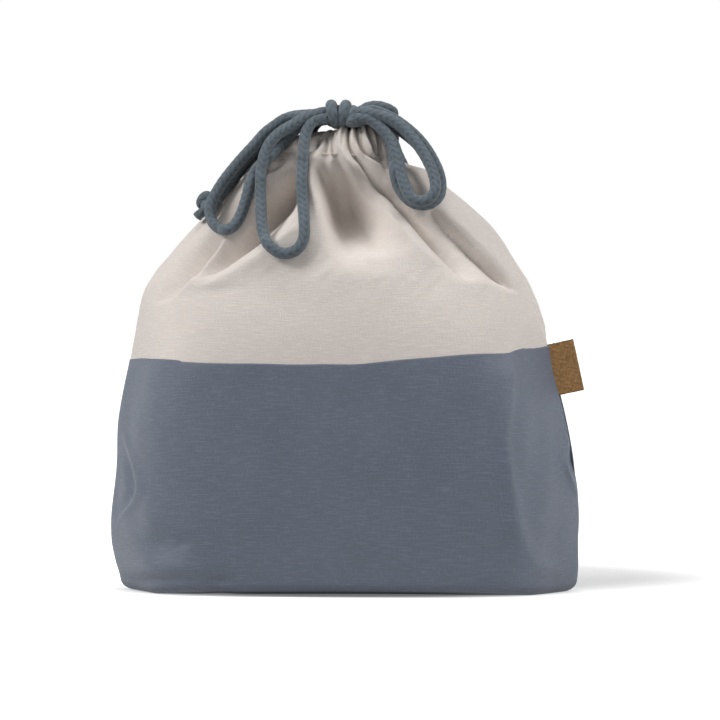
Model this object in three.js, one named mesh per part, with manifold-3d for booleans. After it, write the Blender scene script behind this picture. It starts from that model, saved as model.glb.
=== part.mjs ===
// A drawstring lunch bag, standing closed, in millimetres with +Z up and its front facing -Y.
// Two coated cloth panels make the boxed lower half and two plain canvas panels the gathered upper half.
// Round the mouth two pleated hems form a channel. Two braided cords run right round it, leave it at
// opposite side seams and are tied together in a bow, each ending in an overhand knot. A folded cork tag
// is sewn into the right side seam.
import * as THREE from "three";
import { mergeVertices } from "three/addons/utils/BufferGeometryUtils.js";
import Module from "manifold-3d";

const wasm = await Module();
wasm.setup();
const vector = (...coordinates) => new THREE.Vector3(...coordinates);

// Driving dimensions of the bag
const bagWidth = 244; // from side seam to side seam, where it is widest
const bagDepth = 124; // from front to back, where it is deepest
const rimHeight = 242; // from the floor to the rim of the gathered mouth
const coatedHeight = 120; // from the floor to the top edge of the coated cloth, at the left seam
const coatedRise = 9; // how much higher that edge is at the right seam
const mouthWidth = 44; // over the pleats
const mouthDepth = 40; // over the pleats
const baseRounding = 9; // where the walls turn into the base

// Cloth
const canvasThickness = 1;
const coatedThickness = 1.2;
const lapHeight = 7; // how far the canvas reaches down behind the coated cloth
const sewnGap = 0.3; // between pieces that are sewn against each other
const seamClearance = 0.3; // between the front and the back panels

// Braided cord
const cordDiameter = 6;
const cordRadius = cordDiameter / 2;
const cordClearance = 0.3; // between a cord and what it passes or meets
const cordSides = 8;

// Hem channel round the mouth, which holds the two cords one above the other
const channelWall = 1;
const channelFloor = 1.6; // between the cords and the channel's upper and lower edges
const boreWidth = cordDiameter + 4 * cordClearance;
const boreHeight = 2 * cordDiameter + 5 * cordClearance;
const channelSlope = boreHeight + 2 * channelFloor; // the channel's height, along the cloth
const pleatDepth = 2.6;
const innerPleatDepth = 0.8;
const pleatsPerPanel = 8;
const exitGap = 13; // width of the opening in each side seam, where the cord comes out
const flareDegrees = 34; // of the channel's walls, from upright
const flareLeanDegrees = 17; // more at the left seam, and less at the right one

// Bow knot, which rests on the front of the rim
const knotWidth = 15;
const knotDepth = 19;
const knotHeight = 14;
const knotMiddle = vector(-3.55, -15, rimHeight + sewnGap + knotHeight / 2);
const strandPitch = cordDiameter + cordClearance; // between strands that lie side by side

// Overhand knots at the cords' ends
const endKnotRadius = 7.6;
const endKnotHeight = 11;
const endKnotTurns = 3;
const endKnotSides = 6;
const endKnotSteps = 10;
const leftEndKnot = vector(-74, -4.5, 208);
const rightEndKnot = vector(43.5, 41, 200.5);
const leftKnotAxis = vector(-0.6, -0.2, -0.75); // the direction that its flat sides face
const rightKnotAxis = vector(0.3, 0.6, -0.75);

// Cork tag in the right side seam
const tagHeight = 27;
const tagReach = 12; // from the seam to the fold
const leafThickness = 0.7;
const leafGap = 0.2;
const tagOverlap = 1; // of its upper corner over the coated cloth's edge
const tagTop = coatedHeight + coatedRise + tagOverlap;
const tagClearance = 0.9; // between the seam and the leaves, so that the tag can swing

// Mesh density
const panelColumns = 32;
const channelColumns = 32;
const normalStep = 1e-3; // of a panel's own 0 to 1 coordinates

const { clamp, degToRad, lerp, smoothstep } = THREE.MathUtils;
const up = vector(0, 0, 1);

// Cubic interpolation through the rows [x, value, ...] of a table, column by column.
function alongTable(rows, x, column = 1) {
  const last = rows.length - 1;
  const at = clamp(x, rows[0][0], rows[last][0]);
  let i = 0;
  while (i < last - 1 && at > rows[i + 1][0]) i += 1;
  const slope = (j) => {
    const before = rows[Math.max(j - 1, 0)];
    const after = rows[Math.min(j + 1, last)];
    return (after[column] - before[column]) / (after[0] - before[0]);
  };
  const span = rows[i + 1][0] - rows[i][0];
  const t = (at - rows[i][0]) / span;
  const [p, q] = [rows[i][column], rows[i + 1][column]];
  const [m, n] = [slope(i) * span, slope(i + 1) * span];
  return (
    (2 * t ** 3 - 3 * t ** 2 + 1) * p +
    (t ** 3 - 2 * t ** 2 + t) * m +
    (3 * t ** 2 - 2 * t ** 3) * q +
    (t ** 3 - t ** 2) * n
  );
}

// How the bag closes towards its mouth: share of the rim height, then how much of the way the half width
// and the half depth still are from the mouth's to the body's, then the sideways lean, of the half width.
const closingShares = [
  [0.0, 0.955, 0.975, 0.006],
  [0.06, 0.978, 0.99, 0.006],
  [0.165, 0.997, 1.0, -0.009],
  [0.27, 0.974, 1.0, -0.008],
  [0.372, 0.945, 0.985, -0.022],
  [0.5, 0.886, 0.95, -0.028],
  [0.579, 0.849, 0.9, -0.026],
  [0.661, 0.78, 0.8, -0.036],
  [0.744, 0.645, 0.66, -0.024],
  [0.785, 0.562, 0.57, -0.017],
  [0.826, 0.464, 0.475, -0.018],
  [0.868, 0.355, 0.37, -0.033],
  [0.909, 0.255, 0.265, -0.044],
  [0.942, 0.155, 0.17, -0.06],
  [1.0, 0.0, 0.0, 0.022],
];

// Main folds of the gathered cloth: where each one runs across its panel at its top, middle and bottom,
// from -1 at the left seam to 1 at the right one, the rim height shares of its top and bottom, its depth
// as a share of the bag's depth, and its half width across the panel above and below.
const frontFolds = [
  { shares: [-0.52, -0.47, -0.62], from: 0.97, to: 0.68, depth: 0.085, width: [0.1, 0.1] },
  { shares: [-0.74, -0.7, -0.78], from: 0.9, to: 0.62, depth: 0.04, width: [0.09, 0.06] },
  { shares: [-0.2, -0.1, 0.02], from: 0.95, to: 0.71, depth: 0.065, width: [0.1, 0.12] },
  { shares: [0.03, 0.3, 0.47], from: 0.98, to: 0.66, depth: 0.06, width: [0.07, 0.08] },
  { shares: [0.55, 0.63, 0.76], from: 0.9, to: 0.64, depth: 0.04, width: [0.08, 0.06] },
];
const foldStartShares = [0, 0.35]; // of a fold's length from its top, between which it deepens
const foldEndShares = [0.45, 1]; // and between which it fades
const backFolds = [
  { shares: [-0.6, -0.55, -0.66], from: 0.97, to: 0.66, depth: 0.06, width: [0.09, 0.09] },
  { shares: [-0.25, -0.22, -0.3], from: 0.96, to: 0.7, depth: 0.06, width: [0.1, 0.1] },
  { shares: [0.08, 0.12, 0.1], from: 0.96, to: 0.68, depth: 0.07, width: [0.09, 0.1] },
  { shares: [0.45, 0.5, 0.62], from: 0.97, to: 0.67, depth: 0.055, width: [0.1, 0.08] },
];

const cornerShare = 0.76; // of the half width, where the front turns into the sides
const cornerSharpness = 13;
const roundingShares = [0.45, 0.85]; // of the rim height, between which the section turns into an ellipse
const spreadShare = -0.165; // evens out the panel's columns round the section
const pleatUnevenness = 0.35;
const pleatDrift = 5;

// The ellipse parameter at which a panel's column leaves the bag's axis.
const turnOf = (across) => (Math.PI / 2) * across + spreadShare * Math.sin(Math.PI * across);

// The section's radius in a direction given by its cosine and sine: a hexagon with rounded corners, whose
// side corners are the seams, or an ellipse, or something between.
function sectionRadius(cosine, sine, halfWidth, halfDepth, roundness) {
  const [c, s] = [Math.abs(cosine), Math.abs(sine)];
  const ellipse = 1 / Math.hypot(c / halfWidth, s / halfDepth);
  if (roundness >= 1) return ellipse;
  const normal = new THREE.Vector2(halfDepth, halfWidth * (1 - cornerShare)).normalize();
  const planes = [s / halfDepth, (c * normal.x + s * normal.y) / (halfWidth * normal.x)];
  const sum = planes.reduce((total, plane) => total + plane ** cornerSharpness, 0);
  return lerp(sum ** (-1 / cornerSharpness), ellipse, roundness);
}

// How far the main folds press the cloth in at a place on a panel.
function foldPress(folds, across, heightShare) {
  let press = 0;
  for (const fold of folds) {
    const down = (fold.from - heightShare) / (fold.from - fold.to);
    if (down <= 0 || down >= 1) continue;
    const [top, middle, bottom] = fold.shares;
    const centre = (1 - down) ** 2 * top + 2 * down * (1 - down) * middle + down ** 2 * bottom;
    const width = lerp(fold.width[0], fold.width[1], down);
    const strength = smoothstep(down, ...foldStartShares) * (1 - smoothstep(down, ...foldEndShares));
    press += fold.depth * bagDepth * strength * Math.exp(-(((across - centre) / width) ** 2));
  }
  return press;
}

// 0 on the crown of a fine pleat and 1 in the crease beside it.
function pleatCrease(across) {
  const phase = pleatsPerPanel * (across + 1) + pleatUnevenness * Math.sin(pleatDrift * across + 1);
  return 1 - Math.abs(Math.cos((Math.PI / 2) * phase));
}

// A point of the bag's outer surface below the channel. facing is 1 on the front and -1 on the back, and
// across runs from -1 to 1 between the seams, leftwards on the back.
function bagPoint(facing, across, height) {
  const share = clamp(height / rimHeight, 0, 1);
  const halfWidth = lerp(mouthWidth / 2, bagWidth / 2, alongTable(closingShares, share, 1));
  const halfDepth = lerp(mouthDepth / 2, bagDepth / 2, alongTable(closingShares, share, 2));
  const lean = (bagWidth / 2) * alongTable(closingShares, share, 3);
  const turn = turnOf(across);
  const direction = new THREE.Vector2(halfWidth * Math.sin(turn), -halfDepth * Math.cos(turn)).normalize();
  const roundness = smoothstep(share, ...roundingShares);
  let radius = sectionRadius(direction.x, direction.y, halfWidth, halfDepth, roundness);
  radius -= foldPress(facing > 0 ? frontFolds : backFolds, across, share);
  return vector(lean + facing * radius * direction.x, facing * radius * direction.y, height);
}

// A point in the channel's wall, at a distance down the slope from the rim and a depth into the wall.
function channelPoint(facing, across, down, depth) {
  const turn = turnOf(across);
  const lean = (bagWidth / 2) * alongTable(closingShares, 1, 3);
  const [halfWidth, halfDepth] = [mouthWidth / 2, mouthDepth / 2];
  const rim = vector(facing * halfWidth * Math.sin(turn), -facing * halfDepth * Math.cos(turn), rimHeight);
  const outward = vector(rim.x / halfWidth ** 2, rim.y / halfDepth ** 2, 0).normalize();
  const flare = degToRad(flareDegrees - flareLeanDegrees * outward.x);
  rim.x += lean;
  return rim
    .addScaledVector(outward, down * Math.sin(flare) - depth * Math.cos(flare))
    .addScaledVector(up, -down * Math.cos(flare) - depth * Math.sin(flare));
}

// A surface is a function of two coordinates from 0 to 1. This one lies a distance inside another.
function inset(surface, distance) {
  return (s, t) => {
    const along = surface(s + normalStep, t).sub(surface(s - normalStep, t));
    const upward = surface(s, t + normalStep).sub(surface(s, t - normalStep));
    return surface(s, t).addScaledVector(along.cross(upward).normalize(), -distance);
  };
}

function geometryOf(points, faces) {
  const geometry = new THREE.BufferGeometry().setFromPoints(points);
  geometry.setIndex(faces);
  return geometry;
}

// Two triangles for a quad whose corners run anticlockwise as seen from outside.
const quad = (a, b, c, d) => [a, b, c, a, c, d];

// A closed sheet between an outer and an inner surface, seen with s to the right and t up.
function sheetGeometry(outer, inner, columns, rows) {
  const points = [];
  const faces = [];
  for (const surface of [outer, inner])
    for (let j = 0; j <= rows; j += 1)
      for (let i = 0; i <= columns; i += 1) points.push(surface(i / columns, j / rows));
  const layer = (columns + 1) * (rows + 1);
  const at = (side, i, j) => side * layer + j * (columns + 1) + i;
  for (let j = 0; j < rows; j += 1)
    for (let i = 0; i < columns; i += 1) {
      faces.push(...quad(at(0, i, j), at(0, i + 1, j), at(0, i + 1, j + 1), at(0, i, j + 1)));
      faces.push(...quad(at(1, i, j), at(1, i, j + 1), at(1, i + 1, j + 1), at(1, i + 1, j)));
    }
  for (let i = 0; i < columns; i += 1) {
    faces.push(...quad(at(0, i, 0), at(1, i, 0), at(1, i + 1, 0), at(0, i + 1, 0)));
    faces.push(...quad(at(0, i, rows), at(0, i + 1, rows), at(1, i + 1, rows), at(1, i, rows)));
  }
  for (let j = 0; j < rows; j += 1) {
    faces.push(...quad(at(0, 0, j), at(0, 0, j + 1), at(1, 0, j + 1), at(1, 0, j)));
    faces.push(...quad(at(0, columns, j), at(1, columns, j), at(1, columns, j + 1), at(0, columns, j + 1)));
  }
  return geometryOf(points, faces);
}

// A closed tube lofted through rings of points, with a bore lofted through inner rings, open at both ends.
// Seen along the loft, the rings run clockwise.
function boredLoft(outerRings, boreRings) {
  const sides = outerRings[0].length;
  const points = [...outerRings, ...boreRings].flat();
  const count = outerRings.length;
  const at = (ring, k) => ring * sides + (k % sides);
  const [last, boreLast] = [count - 1, 2 * count - 1];
  const faces = [];
  for (let k = 0; k < sides; k += 1) {
    for (let i = 0; i < last; i += 1) {
      const j = count + i;
      faces.push(...quad(at(i, k), at(i, k + 1), at(i + 1, k + 1), at(i + 1, k)));
      faces.push(...quad(at(j, k), at(j + 1, k), at(j + 1, k + 1), at(j, k + 1)));
    }
    faces.push(...quad(at(0, k), at(count, k), at(count, k + 1), at(0, k + 1)));
    faces.push(...quad(at(last, k), at(last, k + 1), at(boreLast, k + 1), at(boreLast, k)));
  }
  return geometryOf(points, faces);
}

// A geometry as a solid for joining and cutting, and back.
function solidOf(geometry) {
  const bare = geometry.clone();
  bare.deleteAttribute("normal");
  bare.deleteAttribute("uv");
  const merged = mergeVertices(bare, 1e-4);
  return new wasm.Manifold(
    new wasm.Mesh({
      numProp: 3,
      vertProperties: new Float32Array(merged.attributes.position.array),
      triVerts: new Uint32Array(merged.index.array),
    }),
  );
}

function geometryOfSolid(solid) {
  const mesh = solid.getMesh();
  const geometry = new THREE.BufferGeometry();
  geometry.setAttribute("position", new THREE.BufferAttribute(new Float32Array(mesh.vertProperties), 3));
  geometry.setIndex(new THREE.BufferAttribute(new Uint32Array(mesh.triVerts), 1));
  return geometry;
}

const materials = {
  coated: new THREE.MeshStandardMaterial({ color: "#62656f", roughness: 0.55 }),
  canvas: new THREE.MeshStandardMaterial({ color: "#d3cbc6", roughness: 0.95 }),
  cord: new THREE.MeshStandardMaterial({ color: "#515e68", roughness: 0.9 }),
  cork: new THREE.MeshStandardMaterial({ color: "#94704a", roughness: 0.8 }),
};

const bag = new THREE.Group();

function addPiece(name, geometry, material) {
  geometry.computeVertexNormals();
  const mesh = new THREE.Mesh(geometry, material);
  mesh.name = name;
  bag.add(mesh);
  return mesh;
}

// Keeps a point on its own side of the seam plane, so that front and back panels don't meet.
const offSeam = (facing, point) => point.setY(-facing * Math.max(-facing * point.y, seamClearance / 2));

// A panel is a sheet of cloth that lies a depth behind a surface. The depth depends on the height.
function panelGeometry(facing, surface, depth, thickness, rows) {
  const layer = (extra) => (s, t) => offSeam(facing, inset(surface, depth(t) + extra)(s, t));
  return sheetGeometry(layer(0), layer(thickness), panelColumns, rows);
}

// The lower panels: half of the base, from the seam under the bag's middle, and a wall up to the top edge
const lowerRows = 10;
const baseShare = 2 / lowerRows; // of the panel's own height coordinate
const turnShare = 3 / lowerRows;
const lapRowShare = 1 / lowerRows;
const baseSeamShare = 0.97; // of the base's width, the length of its middle seam

// The coated cloth's top edge is level from the left seam to the middle, and climbs to the right seam.
const edgeHeight = (facing, across) => coatedHeight + coatedRise * smoothstep(facing * across, 0, 1);

function lowerSurface(facing) {
  return (s, t) => {
    const across = 2 * s - 1;
    const edge = edgeHeight(facing, across);
    const drawnIn = (distance, height) => {
      const point = bagPoint(facing, across, height);
      const share = 1 - distance / Math.hypot(point.x, point.y);
      return vector(point.x * share, point.y * share, height);
    };
    if (t <= baseShare) {
      const fold = drawnIn(baseRounding, 0);
      return vector(fold.x * baseSeamShare, 0, 0).lerp(fold, t / baseShare);
    }
    if (t <= baseShare + turnShare) {
      const turn = ((t - baseShare) / turnShare) * (Math.PI / 2);
      return drawnIn(baseRounding * (1 - Math.sin(turn)), baseRounding * (1 - Math.cos(turn)));
    }
    const lapBottom = edge - lapHeight;
    const share = (t - baseShare - turnShare) / (1 - baseShare - turnShare - lapRowShare);
    if (share <= 1) return drawnIn(0, lerp(baseRounding, lapBottom, share));
    return drawnIn(0, lerp(edge, lapBottom, (1 - t) / lapRowShare));
  };
}

for (const [name, facing] of [["lower_front_panel", 1], ["lower_back_panel", -1]]) {
  const geometry = panelGeometry(facing, lowerSurface(facing), () => 0, coatedThickness, lowerRows);
  addPiece(name, geometry, materials.coated);
}

// The upper panels: tucked behind the coated cloth below, and sewn to the hem channel above
const upperRows = 14;
const lapShare = 1 / upperRows; // of the panel's height coordinate
const joinShare = 0.8; // where the panel begins to follow the channel's slope

function upperSurface(facing) {
  return (s, t) => {
    const across = 2 * s - 1;
    const edge = edgeHeight(facing, across);
    const bottom = edge - lapHeight;
    const above = Math.max(t - lapShare, 0) / (1 - lapShare);
    const top = channelPoint(facing, across, channelSlope + sewnGap, 0).z;
    const lap = lerp(bottom, edge + sewnGap, Math.min(t / lapShare, 1));
    const body = bagPoint(facing, across, lerp(lap, top, above));
    const down = channelSlope + sewnGap + (1 - above) * (rimHeight - bottom);
    const cone = channelPoint(facing, across, down, pleatDepth * pleatCrease(across));
    return body.lerp(cone, smoothstep(above, joinShare, 1));
  };
}

const tuckedDepth = (t) => (coatedThickness + sewnGap) * (1 - smoothstep(t, lapShare, 2 * lapShare));

for (const [name, facing] of [["upper_front_panel", 1], ["upper_back_panel", -1]]) {
  const geometry = panelGeometry(facing, upperSurface(facing), tuckedDepth, canvasThickness, upperRows);
  addPiece(name, geometry, materials.canvas);
}

// The hem channels: pleated outside and inside, with one bore for both cords, open at the side seams
const boreDepth = pleatDepth + channelWall; // from the pleats' crowns
const channelDepth = boreDepth + boreWidth + channelWall + innerPleatDepth;
const channelSides = 10;
const squareness = 0.4;

function addChannel(name, facing) {
  const exitTurn = Math.acos(exitGap / mouthDepth);
  let endAcross = 1;
  while (turnOf(endAcross) > exitTurn) endAcross -= normalStep;
  const ring = (across, near, far, low, high) =>
    Array.from({ length: channelSides }, (_, k) => {
      const angle = (2 * Math.PI * (k + 1 / 2)) / channelSides;
      const rounded = (value) => Math.sign(value) * Math.abs(value) ** squareness;
      const down = lerp(high, low, (1 + rounded(Math.sin(angle))) / 2);
      const depth = lerp(near, far, (1 + rounded(Math.cos(angle))) / 2);
      return channelPoint(facing, across, down, depth);
    });
  const outerRings = [];
  const boreRings = [];
  for (let i = 0; i <= channelColumns; i += 1) {
    const across = lerp(-endAcross, endAcross, i / channelColumns);
    const crease = pleatCrease(across);
    const far = channelDepth - innerPleatDepth * crease;
    outerRings.push(ring(across, pleatDepth * crease, far, 0, channelSlope));
    boreRings.push(ring(across, boreDepth, boreDepth + boreWidth, channelFloor, channelSlope - channelFloor));
  }
  addPiece(name, boredLoft(outerRings, boreRings), materials.canvas);
}

addChannel("front_channel", 1);
addChannel("back_channel", -1);

// Cords. A route is a list of points that the cord's middle passes through.
function cordSolid(route, steps) {
  const points = route.map((point) => (Array.isArray(point) ? vector(...point) : point));
  const curve = new THREE.CatmullRomCurve3(points, false, "centripetal");
  curve.arcLengthDivisions = 10 * steps;
  const corners = Array.from({ length: cordSides }, (_, k) => {
    const angle = (2 * Math.PI * k) / cordSides;
    return new THREE.Vector2(Math.cos(angle), Math.sin(angle)).multiplyScalar(cordRadius);
  });
  const settings = { steps, extrudePath: curve, bevelEnabled: false };
  return solidOf(new THREE.ExtrudeGeometry(new THREE.Shape(corners), settings));
}

const placed = (geometry, x, y, z) => solidOf(geometry.clone().translate(x, y, z));

// The bow knot: two wraps round the bundled strands. Strands leave its sides in three upright pairs, and
// each pair swings about an axis beside the knot, so its end is rounded about that axis.
const pairRadius = strandPitch / 2 + cordRadius;
const pivotReach = pairRadius + cordClearance; // from the knot's side to the axis
const pivotOf = (side) => knotMiddle.clone().setX(knotMiddle.x + side * (knotWidth / 2 + pivotReach));
const [frontPair, middlePair, backPair] = [-1, 0, 1].map((place) => knotMiddle.y + place * strandPitch);
const coreShare = 0.8; // of the knot's depth and height
const wrapSteps = 14;
const wrapSides = 8;
const wrapTopShare = 1 - cordDiameter / knotWidth; // of the half width, where the wraps pass over the top
const wrapBottomShare = 0.25;

function wrapGeometry(side) {
  const points = Array.from({ length: wrapSteps }, (_, k) => {
    const angle = (2 * Math.PI * k) / wrapSteps;
    const share = lerp(wrapBottomShare, wrapTopShare, (1 + Math.sin(angle)) / 2);
    return vector(
      knotMiddle.x + (side * share * knotWidth) / 2,
      knotMiddle.y + (knotDepth / 2 - cordRadius) * Math.cos(angle),
      knotMiddle.z + (knotHeight / 2 - cordRadius) * Math.sin(angle),
    );
  });
  const path = new THREE.CatmullRomCurve3(points, true);
  return new THREE.TubeGeometry(path, wrapSteps, cordRadius, wrapSides, true);
}

function bowKnotSolid() {
  const [coreHeight, coreDepth] = [coreShare * knotHeight, coreShare * knotDepth];
  const core = new THREE.Shape().absellipse(0, 0, coreHeight / 2, coreDepth / 2, 0, 2 * Math.PI);
  const block = new THREE.ExtrudeGeometry(core, { depth: knotWidth, bevelEnabled: false, curveSegments: 5 });
  block.translate(0, 0, -knotWidth / 2).rotateY(Math.PI / 2);
  return placed(block, ...knotMiddle.toArray()).add(solidOf(wrapGeometry(-1))).add(solidOf(wrapGeometry(1)));
}

const bowKnot = bowKnotSolid();
addPiece("bow_knot", geometryOfSolid(bowKnot), materials.cord);

// Each drawcord runs round the mouth inside the channels, from its own side's exit and back to it, and its
// two ends go over the rim to the back of the bow knot. The left one has the upper place in the bore.
const boreMiddle = boreDepth + boreWidth / 2;
const upperDown = channelFloor + cordClearance + cordRadius;
const lowerDown = channelSlope - upperDown;
const ringEndShare = 0.92; // of the way from a channel's middle to the side seam
const ringPoints = 12; // in each channel
const drawcordSteps = 44;

function ringRoute(side, down) {
  const stops = Array.from({ length: ringPoints }, (_, i) => i / (ringPoints - 1));
  const front = stops.map((stop) => channelPoint(1, -side * lerp(-ringEndShare, 1, stop), down, boreMiddle));
  const back = stops.map((stop) => channelPoint(-1, -side * lerp(-1, ringEndShare, stop), down, boreMiddle));
  return [...front, ...back.slice(1)];
}

function addDrawcord(name, side, down, frontLead, backLead) {
  const ring = ringRoute(side, down);
  const cord = cordSolid([...frontLead, ...ring, ...backLead.toReversed()], drawcordSteps);
  const knotSpace = new THREE.BoxGeometry(knotWidth, knotDepth + 2 * cordClearance, knotHeight);
  const free = cord.subtract(placed(knotSpace, ...knotMiddle.toArray()));
  addPiece(name, geometryOfSolid(free), materials.cord);
}

// The lead from the front channel and the one from the back channel, from the knot to the exit
const leftFrontLead = [
  [-7.4, -7.5, 252.4],
  [-8.6, -2.9, 252.4],
  [-13.5, -1.4, 252],
  [-19, -1.7, 248.5],
  [-22.2, -2.6, 243],
  [-22, -3.15, 238],
  [-20.3, -3.3, 235],
];
const leftBackLead = [
  [-7.4, -7.5, 246.1],
  [-8.6, -2.9, 246.1],
  [-12.8, -0.4, 245.6],
  [-16.5, 2.2, 242.6],
  [-19.3, 3.5, 239],
  [-19.6, 3.3, 235.4],
];
const rightFrontLead = [
  [0.3, -7.5, 252.4],
  [1.5, -2.9, 252.4],
  [8, -1.4, 252.6],
  [15.5, -1.2, 251.4],
  [22.5, -1.6, 247.6],
  [26.6, -2.2, 241.5],
  [27.6, -2.8, 235],
  [25.8, -3.2, 230],
];
const rightBackLead = [
  [0.3, -7.5, 246.1],
  [1.5, -2.9, 246.1],
  [8, -1.2, 246.2],
  [15.5, 0.4, 245.6],
  [22.3, 2.4, 242.3],
  [26.3, 3.4, 237],
  [26.6, 3.15, 231.8],
];

addDrawcord("left_drawcord", -1, upperDown, leftFrontLead, leftBackLead);
addDrawcord("right_drawcord", 1, lowerDown, rightFrontLead, rightBackLead);

// A pair's end: trimmed to a round one about the axis on which it swings
const pivotSides = 32;
const startShares = [-1, 0.1]; // of the pair's radius, from the axis outwards, where a strand begins

function roundedEnd(solid, side) {
  const pivot = pivotOf(side);
  const block = new THREE.BoxGeometry(knotWidth, 2 * knotDepth, 2 * knotHeight);
  const trimmed = placed(block, pivot.x - (side * knotWidth) / 2, pivot.y, pivot.z);
  const round = new THREE.CylinderGeometry(pairRadius, pairRadius, 3 * knotDepth, pivotSides);
  return solid.subtract(trimmed.subtract(placed(round, ...pivot.toArray())));
}

// The first points of a strand, inside the rounded end
function pairStart(side, pair, level) {
  const pivot = pivotOf(side);
  const height = pivot.z + (level * strandPitch) / 2;
  return startShares.map((share) => vector(pivot.x + side * share * pairRadius, pair, height));
}

function addLoop(name, side, pair, route, steps) {
  const [outward, back] = [pairStart(side, pair, 1), pairStart(side, pair, -1).reverse()];
  const loop = cordSolid([...outward, ...route, ...back], steps);
  addPiece(name, geometryOfSolid(roundedEnd(loop, side)), materials.cord);
}

addLoop("left_front_loop", -1, frontPair, leftFrontLoop(), 17);
addLoop("left_back_loop", -1, middlePair, leftBackLoop(), 15);
addLoop("right_front_loop", 1, frontPair, rightFrontLoop(), 14);
addLoop("right_back_loop", 1, middlePair, rightBackLoop(), 14);

function leftFrontLoop() {
  return [
    [-23.5, -21.5, 251],
    [-31.8, -22.5, 245.3],
    [-39.5, -24.5, 237.5],
    [-44.3, -26.5, 227.5],
    [-45.2, -29.5, 216],
    [-45, -34.5, 203],
    [-43.3, -41.5, 190],
    [-39.5, -47.6, 181.8],
    [-32.4, -50.5, 177.6],
    [-25.8, -50, 180.6],
    [-22.2, -48.5, 188],
    [-22.8, -42.5, 203],
    [-23.8, -36, 216],
    [-24.2, -29.5, 229],
    [-23.6, -24.8, 238.5],
    [-21.2, -22, 244.6],
  ];
}

function leftBackLoop() {
  return [
    [-25, -15, 252.3],
    [-32, -15, 251],
    [-38.5, -15, 247.5],
    [-46, -15, 241.3],
    [-52.5, -15, 233.8],
    [-59.5, -15.3, 225.2],
    [-66, -16, 215.8],
    [-70.5, -17.5, 207],
    [-72, -20, 199.5],
    [-69.8, -25, 192],
    [-63.4, -31, 189],
    [-57, -33, 192.5],
    [-53, -30, 200.7],
    [-50.5, -25, 210.3],
    [-48.5, -21.5, 219],
    [-44.5, -18.5, 228],
    [-38, -16.7, 235],
    [-30.5, -15.6, 241],
    [-23.5, -15.1, 245.4],
  ];
}

function rightFrontLoop() {
  return [
    [16.8, -21.3, 251.8],
    [23.3, -21.5, 248.8],
    [30.5, -22.3, 243.8],
    [38.3, -24.5, 235.5],
    [44.8, -27.5, 225.5],
    [48.3, -31.5, 215.5],
    [48, -35.5, 207.5],
    [43.8, -38.5, 202.3],
    [37, -39, 201.6],
    [31.2, -37.5, 206],
    [27.5, -33.5, 214.5],
    [24.9, -28.5, 225.5],
    [22.4, -24.3, 236],
    [17.8, -22, 243.3],
  ];
}

function rightBackLoop() {
  return [
    [18, -15, 252.5],
    [25.3, -15, 250.3],
    [34, -15, 245.6],
    [42.6, -15.6, 237],
    [49.6, -17, 227],
    [53.2, -20, 217],
    [53.6, -25, 207.5],
    [50, -29.5, 201.5],
    [44, -31.8, 202],
    [39.2, -30.5, 208],
    [36, -26.5, 216],
    [32.4, -21.5, 226],
    [27.5, -17.5, 236],
    [20.3, -15.5, 243.6],
  ];
}

// End knots: the two ends of a cord tied together, with their cut ends showing
function endKnotSolid(middle, towards, cutEnds) {
  const ringRadius = endKnotRadius - cordRadius;
  const turned = new THREE.Quaternion().setFromUnitVectors(up, towards.clone().normalize());
  const tilt = Math.asin((endKnotHeight / 2 - cordRadius) / ringRadius);
  let knot = placed(new THREE.SphereGeometry(ringRadius, 8, 5), ...middle.toArray());
  for (let k = 0; k < endKnotTurns; k += 1) {
    const ring = new THREE.TorusGeometry(ringRadius, cordRadius, endKnotSides, endKnotSteps);
    ring.rotateX(tilt).rotateZ((2 * Math.PI * k) / endKnotTurns).applyQuaternion(turned);
    knot = knot.add(placed(ring, ...middle.toArray()));
  }
  for (const end of cutEnds) knot = knot.add(cordSolid([middle, middle.clone().add(end)], 2));
  return knot;
}

// The way from each knot's middle to its cord's two cut ends
const leftCutEnds = [vector(-9, -3, -8), vector(-4, -5, -11)];
const rightCutEnds = [vector(1, 8, -9.5), vector(6, 6, -9)];
const leftKnot = endKnotSolid(leftEndKnot, leftKnotAxis, leftCutEnds);
const rightKnot = endKnotSolid(rightEndKnot, rightKnotAxis, rightCutEnds);
addPiece("left_end_knot", geometryOfSolid(leftKnot), materials.cord);
addPiece("right_end_knot", geometryOfSolid(rightKnot), materials.cord);

const knotGrowth = 1 + (2 * cordClearance) / (endKnotRadius - cordRadius);

function addTail(name, side, level, route, steps) {
  const [knot, middle] = side < 0 ? [leftKnot, leftEndKnot] : [rightKnot, rightEndKnot];
  const cord = cordSolid([...pairStart(side, backPair, level), ...route], steps);
  const room = knot
    .translate(middle.clone().negate().toArray())
    .scale([knotGrowth, knotGrowth, knotGrowth])
    .translate(middle.toArray());
  addPiece(name, geometryOfSolid(roundedEnd(cord, side).subtract(room)), materials.cord);
}

addTail("left_upper_tail", -1, 1, leftUpperTail(), 8);
addTail("left_lower_tail", -1, -1, leftLowerTail(), 8);
addTail("right_upper_tail", 1, 1, rightUpperTail(), 9);
addTail("right_lower_tail", 1, -1, rightLowerTail(), 9);

function leftUpperTail() {
  return [
    [-25, -8.7, 252.2],
    [-34, -8.7, 248.3],
    [-45.6, -8.6, 239.8],
    [-53.5, -8.4, 231.2],
    [-61, -8, 221.5],
    [-67.5, -7.8, 213.8],
    [-73, -7.2, 209],
  ];
}

function leftLowerTail() {
  return [
    [-23, -8.7, 245.9],
    [-30, -7, 243.6],
    [-37, -3.5, 240],
    [-45.5, -1.6, 233.8],
    [-54, -1.4, 226],
    [-61.5, -1.2, 217.8],
    [-67, -1.2, 212],
    [-73, -1.6, 209],
  ];
}

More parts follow.
